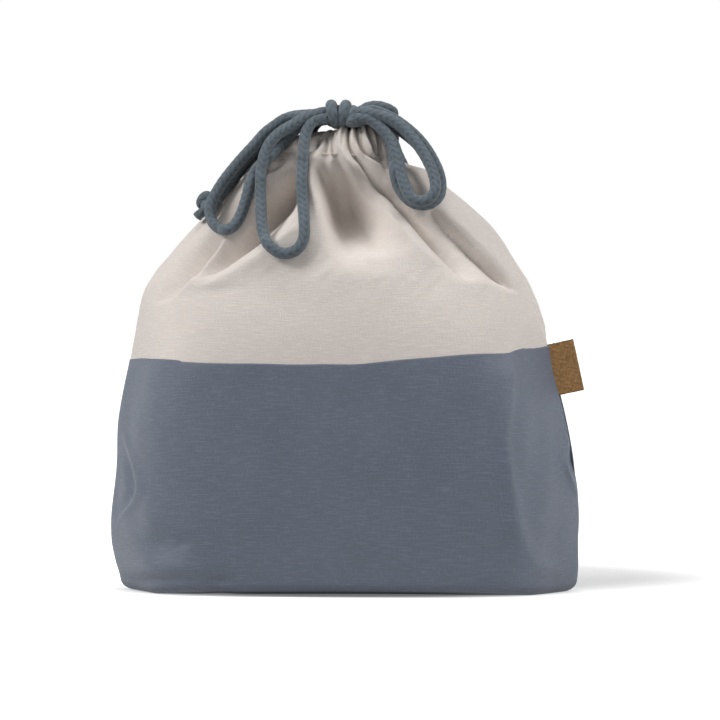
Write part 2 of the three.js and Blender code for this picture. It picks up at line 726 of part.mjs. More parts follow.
function rightUpperTail() {
  return [
    [17.5, -8.7, 252.7],
    [21.5, -8.7, 253.4],
    [26, -8.7, 251.3],
    [30.5, -8.3, 246.6],
    [34, -5, 242.4],
    [36.8, 1.5, 237.4],
    [37.6, 9, 232.2],
    [37.4, 16, 226],
    [37.4, 23.5, 219],
    [38.8, 31, 211],
    [39, 38.5, 205],
  ];
}

function rightLowerTail() {
  return [
    [16.5, -8.8, 245.6],
    [23, -8.8, 244],
    [29, -8.7, 240],
    [34.6, -6.8, 235.2],
    [38.6, -1.5, 230.8],
    [41.8, 5.5, 225.7],
    [43.8, 13, 219.7],
    [45.4, 21.5, 213.5],
    [46.2, 30, 208],
    [48, 39, 205],
  ];
}

// Cork tag: a strip folded in two at its outer edge, both of whose ends are sewn into the right seam
const seamPoint = (height) => bagPoint(1, 1, height);

function tagGeometry() {
  const half = leafGap / 2 + leafThickness;
  const [fold, crease] = [tagReach - half, tagReach - half];
  const section = new THREE.Shape();
  section.moveTo(tagClearance, -half);
  section.lineTo(fold, -half);
  section.absarc(fold, 0, half, -Math.PI / 2, Math.PI / 2);
  section.lineTo(tagClearance, half);
  section.lineTo(tagClearance, leafGap / 2);
  section.lineTo(crease, leafGap / 2);
  section.absarc(crease, 0, leafGap / 2, Math.PI / 2, -Math.PI / 2, true);
  section.lineTo(tagClearance, -leafGap / 2);
  section.closePath();
  return new THREE.ExtrudeGeometry(section, { depth: tagHeight, bevelEnabled: false, curveSegments: 6 });
}

const tag = addPiece("cork_tag", tagGeometry(), materials.cork);
const tagBottom = seamPoint(tagTop - tagHeight);
const seamDirection = seamPoint(tagTop).sub(tagBottom).normalize();
tag.position.copy(tagBottom);
tag.quaternion.setFromUnitVectors(up, seamDirection);

export default bag;
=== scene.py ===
"""A drawstring lunch bag, standing closed: a coated lower half, a gathered canvas upper half, two braided
cords tied in a bow, and a folded cork tag. Lengths are in metres, +Z is up and the front faces -Y."""
import math
from functools import cache, reduce

import bpy
import numpy as np
from bpy.props import FloatProperty, FloatVectorProperty, PointerProperty
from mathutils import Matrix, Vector


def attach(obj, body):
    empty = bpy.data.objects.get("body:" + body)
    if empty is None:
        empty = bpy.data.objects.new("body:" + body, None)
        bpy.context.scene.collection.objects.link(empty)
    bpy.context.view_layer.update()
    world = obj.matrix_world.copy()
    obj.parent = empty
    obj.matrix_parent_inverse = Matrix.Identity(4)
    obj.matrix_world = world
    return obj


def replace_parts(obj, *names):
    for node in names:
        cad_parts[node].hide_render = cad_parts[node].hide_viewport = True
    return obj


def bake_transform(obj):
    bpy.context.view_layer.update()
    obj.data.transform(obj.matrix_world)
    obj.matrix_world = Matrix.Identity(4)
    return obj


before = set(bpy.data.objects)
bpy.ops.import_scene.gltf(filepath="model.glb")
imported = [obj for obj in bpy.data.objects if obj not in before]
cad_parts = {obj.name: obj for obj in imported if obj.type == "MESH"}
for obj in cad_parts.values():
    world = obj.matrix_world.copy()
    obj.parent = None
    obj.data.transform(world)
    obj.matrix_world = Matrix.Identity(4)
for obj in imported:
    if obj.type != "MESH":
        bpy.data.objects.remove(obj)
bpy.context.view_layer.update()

bl_info = {
    "name": "Drawstring Lunch Bag",
    "version": (1, 0, 0),
    "blender": (4, 5, 0),
    "location": "View3D > Sidebar > Lunch Bag",
    "description": "Makes the cloth, cords and tag of a drawstring lunch bag round its packed solids",
    "category": "Add Mesh",
}

MM = 0.001


# Numbers

def smooth(x, low, high):
    """Rises from 0 at low to 1 at high along 3t^2 - 2t^3."""
    t = np.clip((x - low) / (high - low), 0, 1)
    return t * t * (3 - 2 * t)


def mix(a, b, share):
    """From a to b by a share."""
    return a + (b - a) * share


def bump_over(x, begin, full, fading, end):
    """0 up to begin, 1 from full to fading, and 0 again from end on."""
    return smooth(x, begin, full) * (1 - smooth(x, fading, end))


def unit(vectors):
    """Each vector over its length."""
    return vectors / np.maximum(np.linalg.norm(vectors, axis=-1, keepdims=True), 1e-12)


def hermite(t, first, leaving, last, arriving, span=1):
    """Cubic Hermite curve from first to last as t goes from 0 to 1. Its slopes on leaving and on arriving
    are per unit of a variable that grows by span meanwhile."""
    return ((2 * t**3 - 3 * t**2 + 1) * first + (t**3 - 2 * t**2 + t) * leaving * span
            + (3 * t**2 - 2 * t**3) * last + (t**3 - t**2) * arriving * span)


def along_table(rows, x, column, level_ends=False):
    """Cubic Hermite curve through the rows [x, value, ...] of a table, with the slope at each row taken
    from its two neighbours, or 0 at both ends."""
    rows = np.asarray(rows, float)
    at, value = rows[:, 0], rows[:, column]
    x = np.clip(x, at[0], at[-1])
    i = np.clip(np.searchsorted(at, x, side="right") - 1, 0, len(at) - 2)
    before, after = np.maximum(np.arange(len(at)) - 1, 0), np.minimum(np.arange(len(at)) + 1, len(at) - 1)
    slope = (value[after] - value[before]) / (at[after] - at[before])
    if level_ends:
        slope[[0, -1]] = 0
    span = at[i + 1] - at[i]
    return hermite((x - at[i]) / span, value[i], slope[i], value[i + 1], slope[i + 1], span)


def soft_noise(u, v, size, seed):
    """A sum of sine waves in random directions, each about size long, from -1 to 1."""
    waves, low, high = 9, [[0], [0.6], [0]], [[math.pi], [1.7], [math.tau]]
    total = np.zeros(np.broadcast(u, v).shape)
    for angle, stretch, phase in zip(*np.random.default_rng(seed).uniform(low, high, (3, waves))):
        along = u * math.cos(angle) + v * math.sin(angle)
        total += np.sin(math.tau * along / (size * stretch) + phase)
    return total / waves**0.5


# The bag's body, as one surface of across and height

CLOSING_SHARES = [
    # share of the rim height, then how much of the way the half width and the half depth still are from
    # the mouth's to the body's, then the sideways lean, of the half width
    [0.0, 0.972, 0.975, 0.004],
    [0.03, 0.985, 0.985, 0.003],
    [0.06, 0.998, 0.99, -0.004],
    [0.107, 1.008, 0.995, -0.013],
    [0.165, 1.01, 1.0, -0.012],
    [0.27, 0.988, 1.0, -0.009],
    [0.372, 0.957, 0.985, -0.025],
    [0.5, 0.89, 0.95, -0.031],
    [0.579, 0.853, 0.9, -0.03],
    [0.661, 0.783, 0.8, -0.04],
    [0.744, 0.645, 0.66, -0.024],
    [0.785, 0.562, 0.57, -0.017],
    [0.826, 0.464, 0.475, -0.018],
    [0.868, 0.355, 0.37, -0.033],
    [0.909, 0.255, 0.265, -0.044],
    [0.942, 0.155, 0.17, -0.06],
    [1.0, 0.0, 0.0, 0.022],
]
CORNER_SHARE = 0.76             # of the half width, where the front turns into the sides
CORNER_SHARPNESS = 7
SPREAD_SHARE = -0.165           # how much closer the columns of cloth lie at the side seams
ROUNDING_SHARES = (0.45, 0.85)  # of the rim height, where the section turns from a hexagon to an ellipse
FRONT, BACK = 1, -1


def turn_of(across):
    """The ellipse parameter of a column of cloth: across times a quarter turn, evened out by a sine."""
    return math.pi / 2 * across + SPREAD_SHARE * np.sin(math.pi * across)


def section_radius(c, s, half_width, half_depth, roundness):
    """Radius in the direction (c, s) of a section between a hexagon with rounded corners, which is the
    power mean of the distances to its planes, and an ellipse."""
    c, s = np.abs(c), np.abs(s)
    ellipse = 1 / np.hypot(c / half_width, s / half_depth)
    nx, ny = half_depth, half_width * (1 - CORNER_SHARE)
    slant = (c * nx + s * ny) / (half_width * nx)
    hexagon = ((s / half_depth) ** CORNER_SHARPNESS + slant**CORNER_SHARPNESS) ** (-1 / CORNER_SHARPNESS)
    return mix(hexagon, ellipse, roundness)


def body_point(bag, facing, across, height):
    """A place on the bag below its hem: the section's radius along the column's direction, leaning
    sideways as the closing table says."""
    share = np.clip(height / bag.rim_height, 0, 1)
    half_width = mix(bag.mouth_width / 2, bag.width / 2, along_table(CLOSING_SHARES, share, 1))
    half_depth = mix(bag.mouth_depth / 2, bag.depth / 2, along_table(CLOSING_SHARES, share, 2))
    lean = bag.width / 2 * along_table(CLOSING_SHARES, share, 3)
    turn = turn_of(across)
    x, y = half_width * np.sin(turn), -half_depth * np.cos(turn)
    length = np.hypot(x, y)
    x, y = x / length, y / length
    radius = section_radius(x, y, half_width, half_depth, smooth(share, *ROUNDING_SHARES))
    return np.stack(np.broadcast_arrays(lean + facing * radius * x, facing * radius * y, height), -1)


def hem_point(bag, facing, across, down, depth):
    """A place in the flared hem: down its slope from the rim's ellipse, and a depth into its wall."""
    turn = turn_of(across)
    half_width, half_depth = bag.mouth_width / 2, bag.mouth_depth / 2
    x, y = facing * half_width * np.sin(turn), -facing * half_depth * np.cos(turn)
    out = unit(np.stack([x / half_width**2, y / half_depth**2], -1))
    flare = np.radians(bag.flare - bag.flare_lean * out[..., 0])
    outward = down * np.sin(flare) - depth * np.cos(flare)
    lean = bag.width / 2 * CLOSING_SHARES[-1][3]
    return np.stack([
        x + lean + out[..., 0] * outward,
        y + out[..., 1] * outward,
        bag.rim_height - down * np.cos(flare) - depth * np.sin(flare),
    ], -1)


EDGE_ROWS = [
    # place from the left seam at -1 to the right one at 1, then how much of the rise is reached there
    [-1.0, -0.12], [-0.7, 0.05], [-0.56, 0.0], [-0.52, -0.08], [-0.37, -0.15], [-0.2, -0.2], [-0.05, -0.2],
    [0.1, -0.18], [0.24, 0.04], [0.345, 0.26], [0.475, 0.49], [0.6, 0.55], [0.65, 0.59], [0.7, 0.77],
    [0.8, 0.87], [0.89, 0.86], [1.0, 1.0],
]


def edge_height(bag, facing, across):
    """The coated cloth's top edge: almost level from the left seam to the middle, then climbing to the right,
    with a step where it turns the corner."""
    return bag.coated_height + bag.coated_rise * along_table(EDGE_ROWS, facing * across, 1)


# Folds. A fold is a list of rows (height, x, depth, width to its left, width to its right) in millimetres,
# from its top down, with x as seen from the camera's side. A negative depth is a ridge.

FRONT_FOLDS = [
    # the two creases and the hollow left of the middle
    [(242, -11.5, 2.2, 1.2, 1.2), (233, -11.3, 3, 1.5, 1.3), (227, -11.8, 6, 2.6, 1.7),
     (222, -12.4, 9, 3.4, 2), (216, -10.8, 6.5, 3.4, 2.2), (208, -7.5, 3, 4, 3), (196, -3.5, 0, 6, 4)],
    [(240.5, -8.5, 1.8, 1, 1), (232, -7.7, 2.8, 1.3, 1.3), (226, -5, 5.5, 1.8, 1.5),
     (221, -2.4, 8.5, 2.3, 1.7), (216, 0.3, 8.5, 2.8, 1.9), (209, 3.2, 5, 3.6, 2.6), (198, 6.5, 0, 5, 4)],
    [(226, -14, 0, 4, 7), (220.5, -13.2, 6.5, 3, 11), (213, -11.5, 11, 3.2, 17), (203.5, -8.5, 11.5, 4, 20),
     (193, -5, 8, 5.5, 20), (181, 0, 3.4, 8, 20), (163, 7, 0, 12, 18)],
    [(223, -1, 0, 5, 6), (217, 2, 2.8, 6, 8), (209, 6, 5.4, 8, 10), (198.5, 10, 5.4, 9, 11),
     (186.5, 14, 3, 10, 12), (173, 18, 0, 10, 12)],
    # the lobe left of the hollow
    [(222.5, -20.5, 0, 3, 2), (212, -18.5, -1.5, 3, 2), (202.5, -15, -1.8, 3, 2), (192.5, -11, -1.2, 4, 3),
     (180.5, -7, 0, 5, 4)],
    # the long ridge that runs down to the right, and the deep crease under it
    [(241.5, -4, -0.8, 2, 2), (230.5, -3.5, -1.5, 2.5, 2), (222, 1.5, -2, 3, 2.2),
     (211.5, 10, -2.5, 3.5, 2.2), (200.5, 21.5, -2.5, 5, 2.5), (191, 28.5, -2.2, 6, 2.5),
     (179, 38, -1.2, 8, 3), (165, 51, 0, 8, 4)],
    [(241.5, 0, 2.6, 1.2, 1.2), (234, 1, 3, 1.3, 1.3), (229.5, 3, 3.4, 1.4, 1.4),
     (223.7, 8.2, 3.8, 1.5, 1.6), (218.7, 13.2, 4, 1.6, 2), (214, 18.4, 4.5, 1.8, 3), (208.5, 25, 5, 2, 5),
     (201.5, 30.5, 5.5, 2, 7), (192, 37.5, 5.2, 2, 8), (181, 46, 3.8, 2.2, 8), (168.5, 56.5, 1.8, 2.6, 8),
     (160, 64, 0, 4, 8)],
    # the small ridge and creases that fan out under the right loop
    [(241.5, 3, -0.4, 1, 1), (236.7, 3.4, -1, 1.2, 1.2), (229.7, 5.6, -1.6, 1.4, 1.4),
     (225.7, 10, -1.9, 1.6, 1.6), (221.7, 16, -1.9, 1.8, 1.8), (217.5, 22.5, -1.4, 2, 2.4),
     (212, 27.5, 0, 3, 3)],
    [(241, 4.6, 2, 1, 1), (234, 6.6, 2.6, 1.2, 1.2), (229.7, 9.2, 3, 1.3, 1.3), (226.3, 13.4, 3, 1.4, 1.4),
     (222.3, 19.6, 2.6, 1.5, 1.8), (218, 25.5, 0, 2, 2)],
    [(241, 7.6, -0.6, 1, 1), (233.7, 10.9, -1.2, 1.2, 1.2), (228.7, 13.8, -1.4, 1.3, 1.3),
     (225.4, 18, -1.2, 1.4, 1.4), (221.5, 23.5, 0, 1.5, 1.5)],
    [(240, 11.5, 2.2, 1, 1.2), (231.5, 14.5, 2.5, 1.2, 1.2), (225, 17, 1.6, 1.5, 1.5), (218.5, 20, 0, 2, 2)],
    [(237.5, 17, 2.2, 1.2, 1.2), (230, 18, 2.6, 1.2, 1.2), (222.5, 19, 1.5, 1.5, 1.5),
     (214.5, 21.5, 0, 2, 2)],
    [(235.5, 22.5, 2, 1.2, 1.2), (227, 24, 2.4, 1.5, 1.5), (217, 26.5, 1.2, 2, 2), (209.5, 29.5, 0, 2, 2)],
    # the second ridge on the right, with its crease
    [(205, 42, 0, 4, 2), (198.5, 47.5, 1.6, 6, 1.4), (188.5, 56.5, 2.2, 8, 1.3), (176.5, 68.5, 2.6, 9, 1.2),
     (165, 80, 2.2, 8, 1.2), (158.5, 85.5, 0.8, 5, 1.5), (155, 88.5, 0, 4, 2)],
    [(199.5, 51.5, 0, 2, 4), (189, 60.5, -0.8, 1.5, 5), (177, 72.5, -0.9, 1.5, 6), (165, 84, -0.6, 2, 6),
     (156, 92.5, 0, 2, 6)],
    # left of the front loop: the crease, the ridge and the deep pocket that runs down to the left
    [(240, -26.5, 2, 1, 1), (235, -29, 2.4, 1.2, 1.2), (222.5, -35.5, 3, 1.5, 1.5),
     (216, -42.5, 2.2, 2, 1.8), (209.5, -50, 0, 2, 2)],
    [(231, -25, 0, 2, 3), (226, -27.5, 5, 2.2, 4), (221, -29.5, 11, 2.4, 4.4), (214.5, -33, 13.5, 2.6, 5.4),
     (208, -37, 12, 3.4, 7), (200, -42, 8, 5, 10), (191.5, -46, 5, 7, 9), (183, -51, 4.6, 9, 4),
     (175.5, -60, 4.2, 9, 3), (167, -70.5, 2, 8, 3), (161, -79, 0, 6, 3)],
    [(240, -24, -0.6, 2, 1.2), (231, -30.5, -1.6, 3, 1.6), (222, -36.5, -2.2, 3.6, 1.8),
     (213, -43, -2.4, 4, 2), (204, -50.5, -1.4, 5, 3), (196, -57, 0, 5, 3)],
    [(194.5, -22.5, 0, 3, 6), (187.5, -30, -1.2, 2.5, 6), (178, -41.5, -1.5, 2.5, 7),
     (169, -55, -1.5, 2.5, 7), (160.5, -69.5, -1, 2.5, 7), (156, -78, 0, 3, 6)],
    # the outer crease and ridge on the left
    [(222.5, -41.5, 0, 2, 1.5), (209.5, -50, 2, 4, 1.4), (196.5, -58, 2.6, 6, 1.4), (185, -66.5, 3, 8, 1.4),
     (174.5, -75.5, 3.2, 9, 1.4), (161.5, -84.5, 2.6, 9, 1.6), (153, -93.5, 1.2, 7, 2),
     (148.5, -99, 0, 6, 2)],
    [(199, -53, 0, 1.5, 3), (184.5, -63.5, -1.2, 1.5, 4), (173.5, -73, -1.5, 1.5, 5),
     (161.5, -81, -1.2, 1.8, 6), (152.5, -90.5, 0, 2, 6)],
    [(230, -44.5, 0, 1.5, 1.5), (219.5, -53.5, 2, 1.5, 1.5), (206, -62.5, 2, 2, 2), (196, -69.5, 1.2, 3, 2),
     (187.5, -77, 0, 3, 3)],
    # the shoulder's bulge behind the left loops
    [(242, -21, 0, 4, 4), (235, -29, -1.2, 5, 5), (227, -37, -1.4, 6, 6), (217, -47, -1, 7, 7),
     (205, -59, -0.5, 8, 8), (195, -67, 0, 8, 8)],
    # two short creases at the rim
    [(241.5, -15.5, 1.6, 1, 1), (235.5, -16, 1.8, 1.2, 1.2), (229, -16.5, 0, 1.5, 1.5)],
    [(240, -20, 2, 1.2, 1.2), (230, -22.5, 2.2, 1.5, 1.5), (222.5, -26, 0, 2, 2)],
]
BACK_FOLDS = [
    [(241, 15, 2.2, 1.2, 1.2), (229, 17, 3, 1.6, 1.6), (214, 23, 5, 3, 4), (200, 30, 5, 5, 9),
     (184, 40, 3, 8, 10), (166, 52, 0, 8, 8)],
    [(241, 6, 2, 1, 1), (230, 7, 2.6, 1.3, 1.3), (218, 8, 3.5, 3, 2), (205, 9, 3, 6, 3), (188, 9, 0, 8, 6)],
    [(241, -3, 2.4, 1.2, 1.2), (228, -4, 3.4, 1.6, 1.6), (213, -7, 6, 3, 3), (197, -10, 5, 9, 5),
     (180, -13, 3, 12, 8), (160, -15, 0, 14, 10)],
    [(241, -12, 2, 1, 1), (228, -16, 2.8, 1.4, 1.4), (214, -23, 4, 2, 3), (199, -33, 5, 3, 8),
     (184, -44, 4, 3, 10), (168, -57, 2, 4, 9), (156, -66, 0, 5, 8)],
    [(239, -18, 2, 1, 1), (226, -26, 2.6, 1.4, 1.4), (212, -40, 3, 2, 2), (197, -54, 2.6, 4, 2),
     (178, -72, 2, 6, 2), (160, -86, 0, 6, 3)],
    [(238, 22, 2, 1, 1), (225, 30, 2.6, 1.4, 1.4), (208, 46, 3, 2, 3), (192, 60, 2.6, 2, 6),
     (172, 76, 2, 3, 7), (154, 88, 0, 3, 6)],
]
FOLD_POWER = 1.7
NARROW_GAIN, WIDE_GAIN = 1.5, 2.7  # how many times a row's depth is pressed, in folds this narrow and wide
NARROW, WIDE = 2 * MM, 5 * MM
FOLD_OVERRUN = 1.5 * MM            # how far a fold goes on above its highest row
RIM_PLEATS = 13


def fold_press(folds, x, height, stretch):
    """How far folds press the cloth in, the sum over the folds of depth times exp(-|d / width|^1.7), where
    d is the distance from the fold's line. stretch turns a distance along x into one along the cloth."""
    press = np.zeros_like(x)
    for fold in folds:
        rows = np.array(sorted(fold)) * MM
        inside = (height > rows[0, 0]) & (height < rows[-1, 0] + FOLD_OVERRUN)
        if not inside.any():
            continue
        h = height[inside]
        line, above, below = (along_table(rows, h + step, 1) for step in (0, MM, -MM))
        away = (x[inside] - line) * stretch[inside] / np.hypot(1, (above - below) / (2 * MM))
        width = np.where(away < 0, along_table(rows, h, 3), along_table(rows, h, 4))
        depth = along_table(rows, h, 2, level_ends=True)
        gain = mix(NARROW_GAIN, WIDE_GAIN, smooth(width, NARROW, WIDE))
        depth *= np.where(depth > 0, gain, NARROW_GAIN)
        press[inside] += depth * np.exp(-(np.abs(away / width) ** FOLD_POWER))
    return press


def rim_press(bag, across, height):
    """Fine pleats at the rim, 1 - |cos| of the place along it, which fade down the hem."""
    drift = 0.3 * np.sin(5 * across + 1)
    crease = 1 - np.abs(np.cos(math.pi / 2 * (RIM_PLEATS * (across + 1) + drift)))
    fade = smooth(height, bag.rim_height - 26 * MM, bag.rim_height - 6 * MM)
    return bag.pleat_depth * 0.45 * crease * fade


def grid_normals(points):
    """Unit normals of a grid of points, from its central differences, out of the side from which the
    first index runs up and the second to the right."""
    up, right = np.gradient(points, axis=0), np.gradient(points, axis=1)
    return unit(np.cross(right, up))


def evened(normals, reach):
    """Unit normals averaged over the rows within reach of each row."""
    padded = np.concatenate([normals[:1]] * reach + [normals] + [normals[-1:]] * reach)
    total = np.cumsum(np.concatenate([0 * padded[:1], padded]), axis=0)
    return unit(total[2 * reach + 1:] - total[:-2 * reach - 1])


# Meshes

def add_object(name, data):
    thing = bpy.data.objects.new(name, data)
    bpy.context.scene.collection.objects.link(thing)
    return thing


def make_object(name, points, faces, uvs=None, material=None, attributes=None):
    """A smooth mesh from an array of points, a list of face index arrays, and a UV pair for each corner."""
    mesh = bpy.data.meshes.new(name)
    corners = np.concatenate([f.ravel() for f in faces])
    sizes = np.concatenate([np.full(len(f), f.shape[1]) for f in faces])
    mesh.vertices.add(len(points))
    mesh.vertices.foreach_set("co", np.asarray(points, np.float32).ravel())
    mesh.loops.add(len(corners))
    mesh.loops.foreach_set("vertex_index", corners.astype(np.int32))
    mesh.polygons.add(len(sizes))
    mesh.polygons.foreach_set("loop_start", np.concatenate([[0], np.cumsum(sizes)[:-1]]).astype(np.int32))
    mesh.update(calc_edges=True)
    if uvs is not None:
        layer = mesh.uv_layers.new(name="Cloth")
        places = np.concatenate([u.reshape(-1, 2) for u in uvs])
        layer.uv.foreach_set("vector", places.astype(np.float32).ravel())
    for key, values in (attributes or {}).items():
        attribute = mesh.attributes.new(key, "FLOAT", "POINT")
        attribute.data.foreach_set("value", np.asarray(values, np.float32).ravel())
    mesh.polygons.foreach_set("use_smooth", np.ones(len(sizes), bool))
    mesh.validate()
    if material:
        mesh.materials.append(material)
    return add_object(name, mesh)


def grid_faces(rows, columns, start=0, closed=False):
    """Quads of a grid of vertices, and which grid place each corner has, with a closed second index."""
    i, j = np.meshgrid(np.arange(rows - 1), np.arange(columns - (0 if closed else 1)), indexing="ij")
    place = np.stack([np.stack([i, j], -1), np.stack([i, j + 1], -1), np.stack([i + 1, j + 1], -1),
                      np.stack([i + 1, j], -1)], -2).reshape(-1, 4, 2)
    return start + place[..., 0] * columns + place[..., 1] % columns, place


def cloth_sheet(name, outer, thickness, uv, material, attributes=None):
    """A closed sheet: the outer grid, the same grid set in by the thickness along its normals, and strips
    that join their four edges. uv is a grid of places on the flat cloth."""
    rows, columns = outer.shape[:2]
    inner = outer - grid_normals(outer) * np.asarray(thickness)[..., None]
    front, place = grid_faces(rows, columns)
    back = front[:, ::-1] + rows * columns
    number = np.arange(rows * columns).reshape(rows, columns)
    rim = np.concatenate([number[0], number[1:, -1], number[-1, -2::-1], number[-2:0:-1, 0]])
    following = np.roll(rim, -1)
    edge = np.stack([rim, rim + rows * columns, following + rows * columns, following], -1)
    flat = uv.reshape(-1, 2)
    uvs = [flat[front], flat[front[:, ::-1]], flat[np.stack([rim, rim, following, following], -1)]]
    points = np.concatenate([outer.reshape(-1, 3), inner.reshape(-1, 3)])
    both = {key: np.tile(np.ravel(value), 2) for key, value in (attributes or {}).items()}
    return make_object(name, points, [front, back, edge], uvs, material, both)


# Materials

def linear(hex_colour):
    """An sRGB hex colour as linear values with an alpha of 1."""
    srgb = [int(hex_colour[i:i + 2], 16) / 255 for i in (1, 3, 5)]
    return [c / 12.92 if c <= 0.04045 else ((c + 0.055) / 1.055) ** 2.4 for c in srgb] + [1]


def node(tree, kind, inputs=(), **settings):
    """Adds a shader node, sets its properties, and links or sets its inputs: in order from a list, or by
    name or number from a dict. A node among them stands for its first output."""
    made = tree.nodes.new("ShaderNode" + kind)
    for key, value in settings.items():
        setattr(made, key, value)
    for key, value in inputs.items() if isinstance(inputs, dict) else enumerate(inputs):
        if isinstance(value, bpy.types.Node):
            value = value.outputs[0]
        if isinstance(value, bpy.types.NodeSocket):
            tree.links.new(value, made.inputs[key])
        else:
            made.inputs[key].default_value = value
    return made


def new_material(name):
    material = bpy.data.materials.new(name)
    material.use_nodes = True
    material.node_tree.nodes.clear()
    return material, material.node_tree


def finish_material(tree, colour, roughness, height, bump, **sockets):
    """Joins the colour, roughness and bump to the surface shader. bump is in metres."""
    relief = node(tree, "Bump", {"Height": height, "Distance": bump, "Strength": 1.0})
    named = {key.replace("_", " "): value for key, value in sockets.items()}
    shader = node(tree, "BsdfPrincipled",
                  {"Base Color": colour, "Roughness": roughness, "Normal": relief, **named})
    node(tree, "OutputMaterial", {"Surface": shader})


THREAD = 0.7            # mm between threads, drawn twice as coarse as it is so that the weave shows
SLUB_LENGTH = 9.0       # mm, the thick stretches of a thread
CLOUD_SIZE = 45.0       # mm, the cloth's faint lighter and darker patches
FUZZ, FADING = 2.6, 0.12                    # the cord's tufts of fibre and its faded patches, to a mm
GRAIN_WIDTH = 1.1                           # mm, the cork's granules
PORES, VEINS = 1.4, (0.25, 1.1, 1)          # the cork's pores, and its veins along and across, to a mm


def woven(tree, flat):
    """A plain weave in the flat cloth's millimetres: how thick its slubby weft and warp threads are, each
    from noise drawn out along the thread, and the relief of the crossings, a product of two sines."""
    weft, warp = (
        node(tree, "TexNoise", {"Vector": node(tree, "Mapping", {"Vector": flat, "Scale": size}),
                                "Scale": 1.0})
        for size in ((1 / SLUB_LENGTH, 1 / THREAD, 1), (1 / THREAD, 2 / SLUB_LENGTH, 1)))
    parts = node(tree, "SeparateXYZ", [flat]).outputs
    turns = [node(tree, "Math", [parts[k], math.tau / THREAD], operation="MULTIPLY") for k in (0, 1)]
    waves = [node(tree, "Math", [turn], operation="SINE") for turn in turns]
    return weft, warp, node(tree, "Math", waves, operation="MULTIPLY")


def with_specks(tree, flat, colour, spacing, share):
    """Flecks of dark husk on a share of the cells, which are spacing millimetres wide."""
    cells = node(tree, "TexVoronoi", {"Vector": flat, "Scale": 1 / spacing}).outputs
    near = node(tree, "MapRange", [cells["Distance"], 0.035, 0.05, 1.0, 0.0])
    rare = node(tree, "Math", [node(tree, "SeparateColor", [cells["Color"]]), share], operation="LESS_THAN")
    fleck = node(tree, "Math", [near, rare], operation="MULTIPLY")
    dark = node(tree, "Math", [fleck, 0.55], operation="MULTIPLY")
    return node(tree, "Mix", {0: dark, 6: colour, 7: linear("#5c5048")}, data_type="RGBA").outputs[2]


def cloth_material(name, colour, streak, grain_size, roughness, relief, specks=None, **sockets):
    """Shared by both cloths: a colour with light slubs along the threads, a fine grain and a faint
    cloudiness, and a relief of threads."""
    material, tree = new_material(name)
    flat = node(tree, "UVMap", uv_map="Cloth")
    weft, warp, weave = woven(tree, flat)
    grain, cloud = (node(tree, "TexNoise", {"Vector": flat, "Scale": 1 / size})
                    for size in (grain_size, CLOUD_SIZE))
    tones = [node(tree, "MapRange", row) for row in (
        [weft, 0.56, 0.7], [warp, 0.58, 0.7, 0.0, 0.9], [weft, 0.3, 0.7, -0.3, 0.3],
        [grain, 0.25, 0.75, -0.5, 0.5], [cloud, 0.3, 0.7, -0.35, 0.1])]
    heights = [node(tree, "Math", [weave, 0.25], operation="MULTIPLY"),
               node(tree, "Math", [weft, warp], operation="ADD"),
               node(tree, "Math", [grain, 0.5], operation="MULTIPLY")]
    tone, threads = (reduce(lambda a, b: node(tree, "Math", [a, b], operation="ADD"), parts)
                     for parts in (tones, heights))
    share = node(tree, "MapRange", [tone, -1.0, 1.0, 1 - streak, 1 + streak])
    shown = node(tree, "VectorMath", {0: list(colour)[:3], "Scale": share}, operation="SCALE")
    if specks:
        shown = with_specks(tree, flat, shown, *specks)
    finish_material(tree, shown, roughness, threads, relief, **sockets)
    return material


@cache
def natural_canvas():
    """Unbleached cotton and linen canvas, plain woven and unfinished: matt, with slubs and a few specks
    of husk that give the eye a dry, uneven surface."""
    return cloth_material("natural_canvas", look().canvas_colour, 0.07, 0.8, 0.92, 0.2 * MM,
                          specks=(9.0, 0.03), Sheen_Weight=0.12, Sheen_Roughness=0.5,
                          Specular_IOR_Level=0.25)


@cache
def coated_canvas():
    """The same slubby weave under a thin coloured coating, rolled on: the threads still stand out, and the
    filled gaps give it a satin sheen."""
    return cloth_material("coated_canvas", look().coated_colour, 0.2, 0.9, 0.5, 0.14 * MM,
                          Specular_IOR_Level=0.42)


@cache
def braided_cotton():
    """Cotton cord, braided round from soft yarns: matt and fuzzy, with painted shade down in the braid's
    grooves.
    """
    material, tree = new_material("braided_cotton")
    place = node(tree, "UVMap", uv_map="Cloth")
    fuzz = node(tree, "TexNoise", {"Vector": place, "Scale": FUZZ, "Detail": 4.0, "Roughness": 0.7})
    patches = node(tree, "TexNoise", {"Vector": place, "Scale": FADING})
    light = node(tree, "MapRange", [fuzz, 0.3, 0.7, 0.80, 1.2])
    faded = node(tree, "MapRange", [patches, 0.3, 0.7, 0.88, 1.12])
    # painted shade: the groove attribute darkens the cord's colour towards the groove shade colour down in
    # the braid's grooves
    groove = node(tree, "Attribute", attribute_name="groove").outputs["Fac"]
    depth = node(tree, "Math", [groove, 0.95], operation="MULTIPLY")
    colour = node(tree, "Mix", {0: depth, 6: list(look().cord_colour), 7: list(look().groove_shade_colour)},
                  data_type="RGBA").outputs[2]
    tone = node(tree, "Math", [light, faded], operation="MULTIPLY")
    worn_and_groove_shaded = node(tree, "VectorMath", {0: colour, "Scale": tone}, operation="SCALE")
    finish_material(tree, worn_and_groove_shaded, 0.9, fuzz, 0.25 * MM, Sheen_Weight=0.2, Sheen_Roughness=0.5,
                    Specular_IOR_Level=0.2)
    return material


